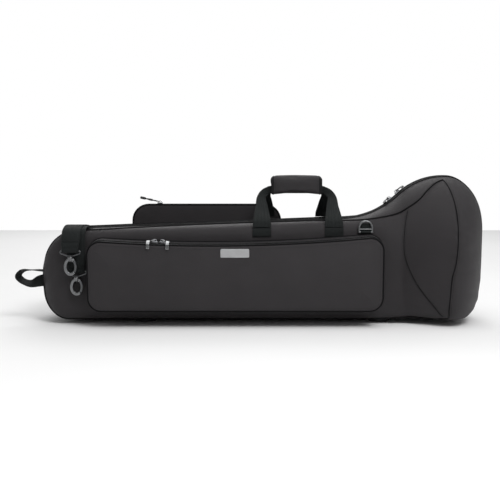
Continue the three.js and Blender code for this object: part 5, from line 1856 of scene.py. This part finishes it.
@dataclass
class CarryHandle:
    """Two webbing loops from root to root, and the padded grip that wraps them.

    Places without a unit are millimetres.
    """

    skin: Skin
    x: float = 99.121
    rise: float = 280.0
    strand: float = 110.0
    front_root: tuple[float, float] = (-73.476, 205.0)
    rear_root: tuple[float, float] = (40.0, 219.5)
    front_spread: float = 149.0
    rear_spread: float = 127.0
    foot: float = 38.0
    foot_proud: float = 2.1 * MM
    foot_thickness: float = 1.8 * MM
    front_foot: tuple[float, float] = (185.7 * MM, 203.7 * MM)
    rear_foot: tuple[float, float] = (41.3 * MM, 63.3 * MM)
    rear_foot_low: float = 113 * MM
    cross: tuple[float, float] = (187.5, 202.0)
    stitch_radius: float = 0.35 * MM

    def build(self) -> None:
        """Builds the loops, their feet and the grip."""
        self.loop("front_handle", self.front_root, -4.7, self.front_spread)
        self.loop("rear_handle", self.rear_root, 3.9, self.rear_spread)
        self.feet()
        self.grip()

    def loop(self, body: str, root: tuple[float, float], fold_y: float, spread: float) -> None:
        """One loop, folded to half its width inside the grip.

        Args:
            body: The body that it rides, which also names it.
            root: The roots' Y and Z in millimetres.
            fold_y: The folded strand's Y in millimetres.
            spread: The distance between the roots in millimetres.
        """
        root_y, root_z = root
        half, bend = spread / 2, (spread - self.strand) / 2
        climb, back = self.rise - root_z, fold_y - root_y
        shares = ((0, 0), (0.1, 0.17), (0.5, 0.5), (0.85, 0.8))
        start = [(self.x - half, root_y + back * b, root_z + climb * c) for b, c in shares]
        start.append((self.x - half + bend / 2, fold_y, self.rise - bend / 5))
        start.append((self.x - self.strand / 2 + bend / 3, fold_y, self.rise))
        start.append((self.x - self.strand / 4, fold_y, self.rise))
        end = [(2 * self.x - x, y, z) for x, y, z in reversed(start)]
        wide = [38.0, 37.0, 27.0, 18.0, 16.0, 16.0, 16.0]
        thick = [1.2, 2.0, 2.6, 3.6, 4.0, 4.0, 4.0]
        band = Ribbon(steps=150).band(
            f"{body}_band",
            [at(*spot) for spot in start + end],
            lambda tangent, _: Vector((tangent.z, 0, -tangent.x)),
            [w * MM for w in wide + wide[::-1]],
            [t * MM for t in thick + thick[::-1]],
        )
        Bench.dress(band, body, [Finish.WEBBING], [f"{body}_webbing"])

    def feet(self) -> None:
        """The sewn-down ends of the webbing."""
        half = self.foot / 2
        for side, sign in (("narrow", -1), ("bell", 1)):
            front_x = self.x + sign * self.front_spread / 2
            rear_x = self.x + sign * self.rear_spread / 2
            foot = self.skin.layer(
                f"front_handle_foot_{side}",
                self.foot_proud,
                self.foot_thickness,
                ((front_x - half) * MM, -BEYOND, self.front_foot[0]),
                ((front_x + half) * MM, 0, self.front_foot[1]),
                upright=True,
            )
            Bench.dress(foot, "front_half", [Finish.WEBBING], [f"front_web_foot_{side}"])
            self.cross_stitch(f"front_foot_stitches_{side}", front_x)
            foot = self.skin.layer(
                f"rear_handle_foot_{side}",
                self.foot_proud,
                self.foot_thickness,
                ((rear_x - half) * MM, self.rear_foot[0], self.rear_foot_low),
                ((rear_x + half) * MM, self.rear_foot[1], BEYOND),
                upright=True,
            )
            Bench.dress(foot, "rear_half", [Finish.WEBBING], [f"rear_web_foot_{side}"])

    def cross_stitch(self, name: str, x: float) -> None:
        """A box of stitches with a cross, on a foot of the front webbing."""
        low, high = self.cross
        left, right, before, steps = x - 16, x + 16, -76, 12
        corners = [(left, low), (right, low), (right, high), (left, high)]
        path = [*corners, corners[0], corners[2], corners[3], corners[1]]
        line, normals = [], []
        for (x0, z0), (x1, z1) in zip(path, path[1:]):
            for i in range(steps):
                spot = at(mix(x0, x1, i / steps), before, mix(z0, z1, i / steps))
                moved, up = self.skin.snap(spot, self.foot_proud + 0.1 * MM)
                line.append(moved)
                normals.append(up)
        Stitching(radius=self.stitch_radius).sew(name, "front_half", line, normals)

    def grip(self) -> None:
        """The padded wrap: a puffed pad with bound ends and a stitched flap."""
        grip = Bench.copy_node("padded_grip", "handle_grip", 2.2 * MM, 8)
        Bench.inflate(grip, 5.0, 2.2 * MM)
        tree = BVHTree.FromObject(grip, bpy.context.evaluated_depsgraph_get())
        low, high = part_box("handle_grip")
        tape, end_gap = 6 * MM, 1 * MM
        for side, start in (("narrow", low.x + end_gap), ("bell", high.x - (end_gap + tape))):
            self.bound_end(grip, side, start, start + tape)
        Bench.box_map(grip)
        Bench.dress(grip, "front_handle", [Finish.NYLON], ["handle_grip"], fill=0.7)
        inset, low_inset, steps = 10 * MM, 6 * MM, 14
        left, right, bottom, top = low.x + inset, high.x - inset, low.z + low_inset, high.z - inset
        corners = [(left, bottom), (right, bottom), (right, top), (left, top), (left, bottom)]
        line, normals = [], []
        for (x0, z0), (x1, z1) in zip(corners, corners[1:]):
            for i in range(steps):
                ray = Vector((mix(x0, x1, i / steps), low.y - 20 * MM, mix(z0, z1, i / steps)))
                hit, normal, _, _ = tree.ray_cast(ray, Vector((0, 1, 0)))
                line.append(hit + normal * 0.1 * MM)
                normals.append(normal)
        line.append(line[0])
        normals.append(normals[0])
        Stitching(radius=self.stitch_radius).sew("grip_stitches", "front_handle", line, normals)

    @staticmethod
    def bound_end(grip: bpy.types.Object, side: str, start: float, end: float) -> None:
        """The tape that binds one end of the pad.

        Args:
            grip: The pad.
            side: The end's name.
            start: The tape's first X.
            end: The tape's last X.
        """
        band = Bench.add(f"grip_binding_{side}", grip.data.copy())
        Bench.cut(band, (start, 0, 0), (-1, 0, 0))
        Bench.cut(band, (end, 0, 0), (1, 0, 0))
        Bench.box_map(band)
        Bench.modify(band, "SOLIDIFY", thickness=1.1 * MM, offset=0.6)
        Bench.dress(band, "front_handle", [Finish.BINDING])


@dataclass
class StrapTails:
    """Two webbing tails that hang over the front edge and end in snap hooks.

    Places without a unit are millimetres.
    """

    skin: Skin
    start: float = 16.0
    front: float = 75.0
    stitch_radius: float = 0.35 * MM
    stitch_half: float = 15.0
    stitch_lows: tuple[float, float] = (9.0, 20.0)
    patch_proud: float = 1.7 * MM
    patch_thickness: float = 1.35 * MM
    patch_low: tuple[float, float, float] = (-389.6 * MM, -47.3 * MM, 113 * MM)
    patch_high: tuple[float, float, float] = (-334.6 * MM, -15.3 * MM, BEYOND)

    def build(self) -> None:
        """Builds the anchor patch and both tails."""
        patch = self.skin.layer(
            "strap_anchor",
            self.patch_proud,
            self.patch_thickness,
            self.patch_low,
            self.patch_high,
        )
        Bench.dress(patch, "front_half", [Finish.PATCH], ["strap_patch"])
        self.tail("strap_tail_a", -366.6, 204.157, -96.5, 157.857)
        self.tail("strap_tail_b", -357.6, 201.857, -84.5, 114.857)

    def tail(self, node: str, x: float, roof: float, hang: float, end: float) -> None:
        """One tail, which folds round its wire eye and is sewn behind.

        Args:
            node: The CAD node that it stands for.
            x: Its middle in millimetres.
            roof: Its height on the roof.
            hang: Its Y where it hangs.
            end: The eye's height.
        """
        bend = hang + self.front
        shoulder = self.front - self.start
        down = [
            (x + 5, -self.start, roof),
            (x + 3, -self.start - shoulder / 2, roof + 3),
            (x + 1, -self.start - shoulder * 0.75, roof + 2.5),
            (x, -self.front + bend / 3, roof - 7),
            (x, hang - bend / 6, roof - 27),
            (x, hang - 1.1, end + 14),
            (x, hang - 1.6, end + 6),
            (x, hang - 2.9, end + 1),
            (x, hang, end - 2.9),
            (x, hang + 2.9, end + 1),
            (x, hang + 1.6, end + 6),
            (x, hang + 1.15, end + 14),
            (x, hang + 1.1, end + 22),
        ]
        wide = [38.0] * 5 + [36.0, 34.2, 34.2, 34.2, 34.2, 34.2, 36.0, 36.0]
        widths = [width * MM for width in wide]
        band = Ribbon(steps=130).band(f"{node}_band", [at(*spot) for spot in down], widths=widths)
        Bench.dress(band, "front_half", [Finish.WEBBING], [node])
        line, steps, before = [], 12, hang - 2.25
        for low, half in zip(self.stitch_lows, (self.stitch_half, -self.stitch_half)):
            places = [x + mix(-half, half, i / steps) for i in range(steps + 1)]
            line.extend(at(place, before, end + low) for place in places)
        normals = [Vector((0, -1, 0))] * len(line)
        Stitching(radius=self.stitch_radius).sew(f"{node}_stitches", "front_half", line, normals)


@dataclass
class PullLoop:
    """The webbing loop at the narrow end, with half a twist in its lower strand."""

    skin: Skin
    width: float = 25 * MM
    middle: float = -30.0
    lean: float = math.radians(16)
    lean_start: tuple[float, float] = (0.02, 0.3)
    twist_start: tuple[float, float] = (0.6, 1.02)
    patch_proud: float = 1.5 * MM
    patch_thickness: float = 1.2 * MM

    def build(self) -> None:
        """Builds the loop and its sewn patch."""
        path = (
            (-431, 108), (-462, 110), (-485, 108), (-494, 97), (-486, 87), (-468, 81), (-450, 86),
            (-431, 90),
        )
        controls = [at(x, self.middle, z) for x, z in path]

        def across(tangent: Vector, share: float) -> Vector:
            """The direction across the band, which turns in its lower strand."""
            lean = self.lean * ease(share, *self.lean_start)
            twist = lean + ease(share, *self.twist_start) * (math.pi / 2 - lean)
            return Matrix.Rotation(twist, 3, tangent) @ Vector((0, 1, 0))

        band = Ribbon(width=self.width, steps=110).band("pull_loop_band", controls, across)
        Bench.dress(band, "front_half", [Finish.WEBBING], ["pull_loop"])
        low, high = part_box("pull_loop_patch")
        low = (-BEYOND, low.y, low.z)
        proud, thickness = self.patch_proud, self.patch_thickness
        patch = self.skin.layer("pull_loop_anchor", proud, thickness, low, high)
        Bench.dress(patch, "front_half", [Finish.PATCH], ["pull_loop_patch"])


@dataclass(frozen=True)
class Casting:
    """A metal or moulded part: its CAD node with rounded edges and its finish."""

    node: str
    body: str
    finish: Finish
    voxel: float = 0.35 * MM
    rounds: int = 5
    swell: float = 0.0

    def build(self) -> None:
        """Builds the rounded part in its node's place."""
        piece = Bench.copy_node(f"{self.node}_finished", self.node, self.voxel, self.rounds)
        if self.swell:
            Bench.modify(piece, "DISPLACE", strength=self.swell, mid_level=0.0)
        Bench.dress(piece, self.body, [self.finish], [self.node])


@dataclass
class Hardware:
    """The metal and moulded parts, and the D-ring's tab."""

    bar: tuple[float, float, float] = (238.121, -77.854, 194.67)
    tab_width: float = 21 * MM
    tab_thickness: float = 1.3 * MM

    def castings(self) -> list[Casting]:
        """Every part with its body and finish."""
        parts = [
            Casting("d_ring", "d_ring", Finish.GREY_CAST, swell=0.15 * MM),
            Casting("bare_plate", "front_pocket", Finish.PLATE, voxel=0.4 * MM, rounds=2),
            Casting("music_slider", "music_slider", Finish.NICKEL),
            Casting("music_cord_pull", "music_cord_pull", Finish.RUBBER, voxel=0.45 * MM),
        ]
        for end in ("lower", "upper"):
            parts.append(Casting(f"main_slider_{end}", f"main_slider_{end}", Finish.NICKEL))
            parts.append(Casting(f"main_pull_{end}", f"main_pull_{end}", Finish.ENAMEL))
        for end in ("left", "right"):
            parts.append(Casting(f"pocket_slider_{end}", f"pocket_slider_{end}", Finish.NICKEL))
            parts.append(Casting(f"pocket_pull_{end}", f"pocket_pull_{end}", Finish.POLISHED))
        for tail in ("a", "b"):
            parts.append(Casting(f"strap_eye_{tail}", f"strap_eye_{tail}", Finish.GUNMETAL))
            parts.append(
                Casting(
                    f"snap_hook_{tail}", f"snap_hook_{tail}", Finish.GREY_CAST, 0.45 * MM, 5, 0.5 * MM
                )
            )
            parts.append(Casting(f"hook_gate_{tail}", f"hook_gate_{tail}", Finish.GUNMETAL, 0.3 * MM))
        for half in ("front", "rear"):
            for end in ("narrow", "bell"):
                node = f"{half}_foot_{end}"
                parts.append(Casting(node, f"{half}_half", Finish.RUBBER, 0.8 * MM, 3))
        return parts

    def build(self) -> None:
        """Builds the parts and the tab."""
        for part in self.castings():
            part.build()
        self.ring_tab()

    def ring_tab(self) -> None:
        """The webbing tab folded round the D-ring's lower bar."""
        x, y, z = self.bar
        path = [
            (x, y + 3.4, z + 18), (x, y + 3.3, z + 10), (x, y + 3.2, z + 4), (x, y + 2.7, z + 1),
            (x, y, z - 2.8), (x, y - 2.8, z), (x, y, z + 2.8),
        ]
        ribbon = Ribbon(self.tab_width, self.tab_thickness, steps=60)
        band = ribbon.band("d_ring_fold", [at(*spot) for spot in path])
        Bench.dress(band, "front_half", [Finish.WEBBING], ["d_ring_tab"])


@dataclass
class Inside:
    """The plush-covered foam that holds the slide, the bell and the mouthpiece."""

    blocks: tuple[tuple[str, str], ...] = (
        ("slide_cradle_narrow", "front_half"),
        ("slide_cradle_bell", "front_half"),
        ("mouthpiece_block", "front_half"),
        ("bell_cradle_throat", "rear_half"),
        ("bell_cradle_flare", "rear_half"),
    )
    strap_width: float = 20 * MM
    strap_thickness: float = 1.6 * MM
    plush_voxel: float = 3 * MM

    def build(self) -> None:
        """Builds the blocks and the slide's strap."""
        for node, body in self.blocks:
            block = Bench.copy_node(f"{node}_plush", node, self.plush_voxel, 6)
            Bench.dress(block, body, [Finish.FOAM], [node], fill=0.9)
        low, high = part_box("slide_strap")
        middle = (low + high) / 2
        path = [Vector((middle.x, middle.y, mix(low.z, high.z, i / 4))) for i in range(5)]
        ribbon = Ribbon(self.strap_width, self.strap_thickness, steps=40)
        strap = ribbon.band("slide_strap_band", path)
        Bench.dress(strap, "front_half", [Finish.WEBBING], ["slide_strap"])


# Studio


@dataclass
class Studio:
    """The pale floor, the soft light and the camera."""

    distance: float = 1.65
    height: float = 0.33
    pitch: float = 6.25
    lens: float = 55.2
    floor_size: float = 4.6
    horizon: float = 0.12
    zenith: float = 0.6
    aim: tuple[float, float, float] = (0.0, 0.0, 0.15)
    lamps: tuple[tuple[str, tuple[float, float, float], float, float], ...] = (
        ("key", (0.9, -1.6, 2.1), 34.0, 1.0),
        ("top", (0.1, -0.4, 2.4), 10.0, 1.6),
        ("rear", (-0.2, 2.1, 1.9), 22.0, 1.8),
    )

    def build(self) -> None:
        """Builds the studio."""
        self.camera()
        self.floor()
        for lamp in self.lamps:
            self.light(*lamp)
        self.backdrop()
        bpy.context.scene.view_settings.view_transform = "Standard"

    def backdrop(self) -> None:
        """A white backdrop whose own light on the case is weaker near the horizon."""
        world = bpy.data.worlds.new("studio")
        bpy.context.scene.world = world
        world.use_nodes = True
        nodes = Nodes(world.node_tree)
        _, _, height = nodes.parts(nodes.coordinates("Generated"))
        seen = nodes.socket(nodes.node("ShaderNodeLightPath"), "Is Camera Ray")
        glow = height.math("MAXIMUM", height, 0.0) * self.zenith + self.horizon
        strength = glow + seen * (1.0 - glow)
        background = nodes.node(
            "ShaderNodeBackground", values={"Color": (1.0, 1.0, 1.0, 1.0), "Strength": strength}
        )
        output = nodes.node("ShaderNodeOutputWorld")
        nodes.tree.links.new(background.outputs[0], output.inputs["Surface"])

    def camera(self) -> None:
        """The camera at the photograph's place."""
        data = bpy.data.cameras.new("camera")
        data.lens = self.lens
        data.sensor_width = 36.0
        made = Bench.add("camera", data)
        made.location = (0.0, -self.distance, self.height)
        made.rotation_euler = (math.radians(90 - self.pitch), 0.0, 0.0)
        bpy.context.scene.camera = made

    def floor(self) -> None:
        """A pale floor."""
        Bench.start()
        bpy.ops.mesh.primitive_plane_add(size=self.floor_size, location=(0, 0, 0))
        floor = bpy.context.object
        floor.name = "floor"
        recipe = Recipe("pale_floor")
        tone = recipe.noise(recipe.coordinates(), 3.0)
        recipe.feed("Base Color", recipe.blend(tone, (0.88, 0.88, 0.88), (0.93, 0.93, 0.93)))
        recipe.set(Roughness=0.9)
        floor.data.materials.append(recipe.material)

    def light(self, name: str, place: tuple[float, float, float], power: float, size: float) -> None:
        """A square soft light that faces the case."""
        data = bpy.data.lights.new(name, "AREA")
        data.energy = power
        data.size = size
        made = Bench.add(name, data)
        made.location = place
        way = Vector(self.aim) - Vector(place)
        made.rotation_euler = way.to_track_quat("-Z", "Y").to_euler()


def main() -> None:
    """Builds the studio and the case, one sub-assembly after another."""
    logging.basicConfig(level=logging.INFO)
    Studio().build()
    skin = Skin(CaseForm())
    front = PocketShape(
        left=-330.6 * MM,
        right=271.124 * MM,
        bottom=35 * MM,
        height=136 * MM,
        corner=28 * MM,
        sag_x=-76.67 * MM,
        sag_radius=3304.987 * MM,
    )
    rear = PocketShape(
        left=-263.6 * MM, right=68.4 * MM, bottom=22 * MM, height=222 * MM, corner=36 * MM
    )
    Halves(skin).build()
    MainZip(skin).build()
    FrontPocket(front).build()
    MusicPocket(rear).build()
    CarryHandle(skin).build()
    StrapTails(skin).build()
    PullLoop(skin).build()
    Hardware().build()
    Inside().build()


if __name__ == "__main__":
    main()
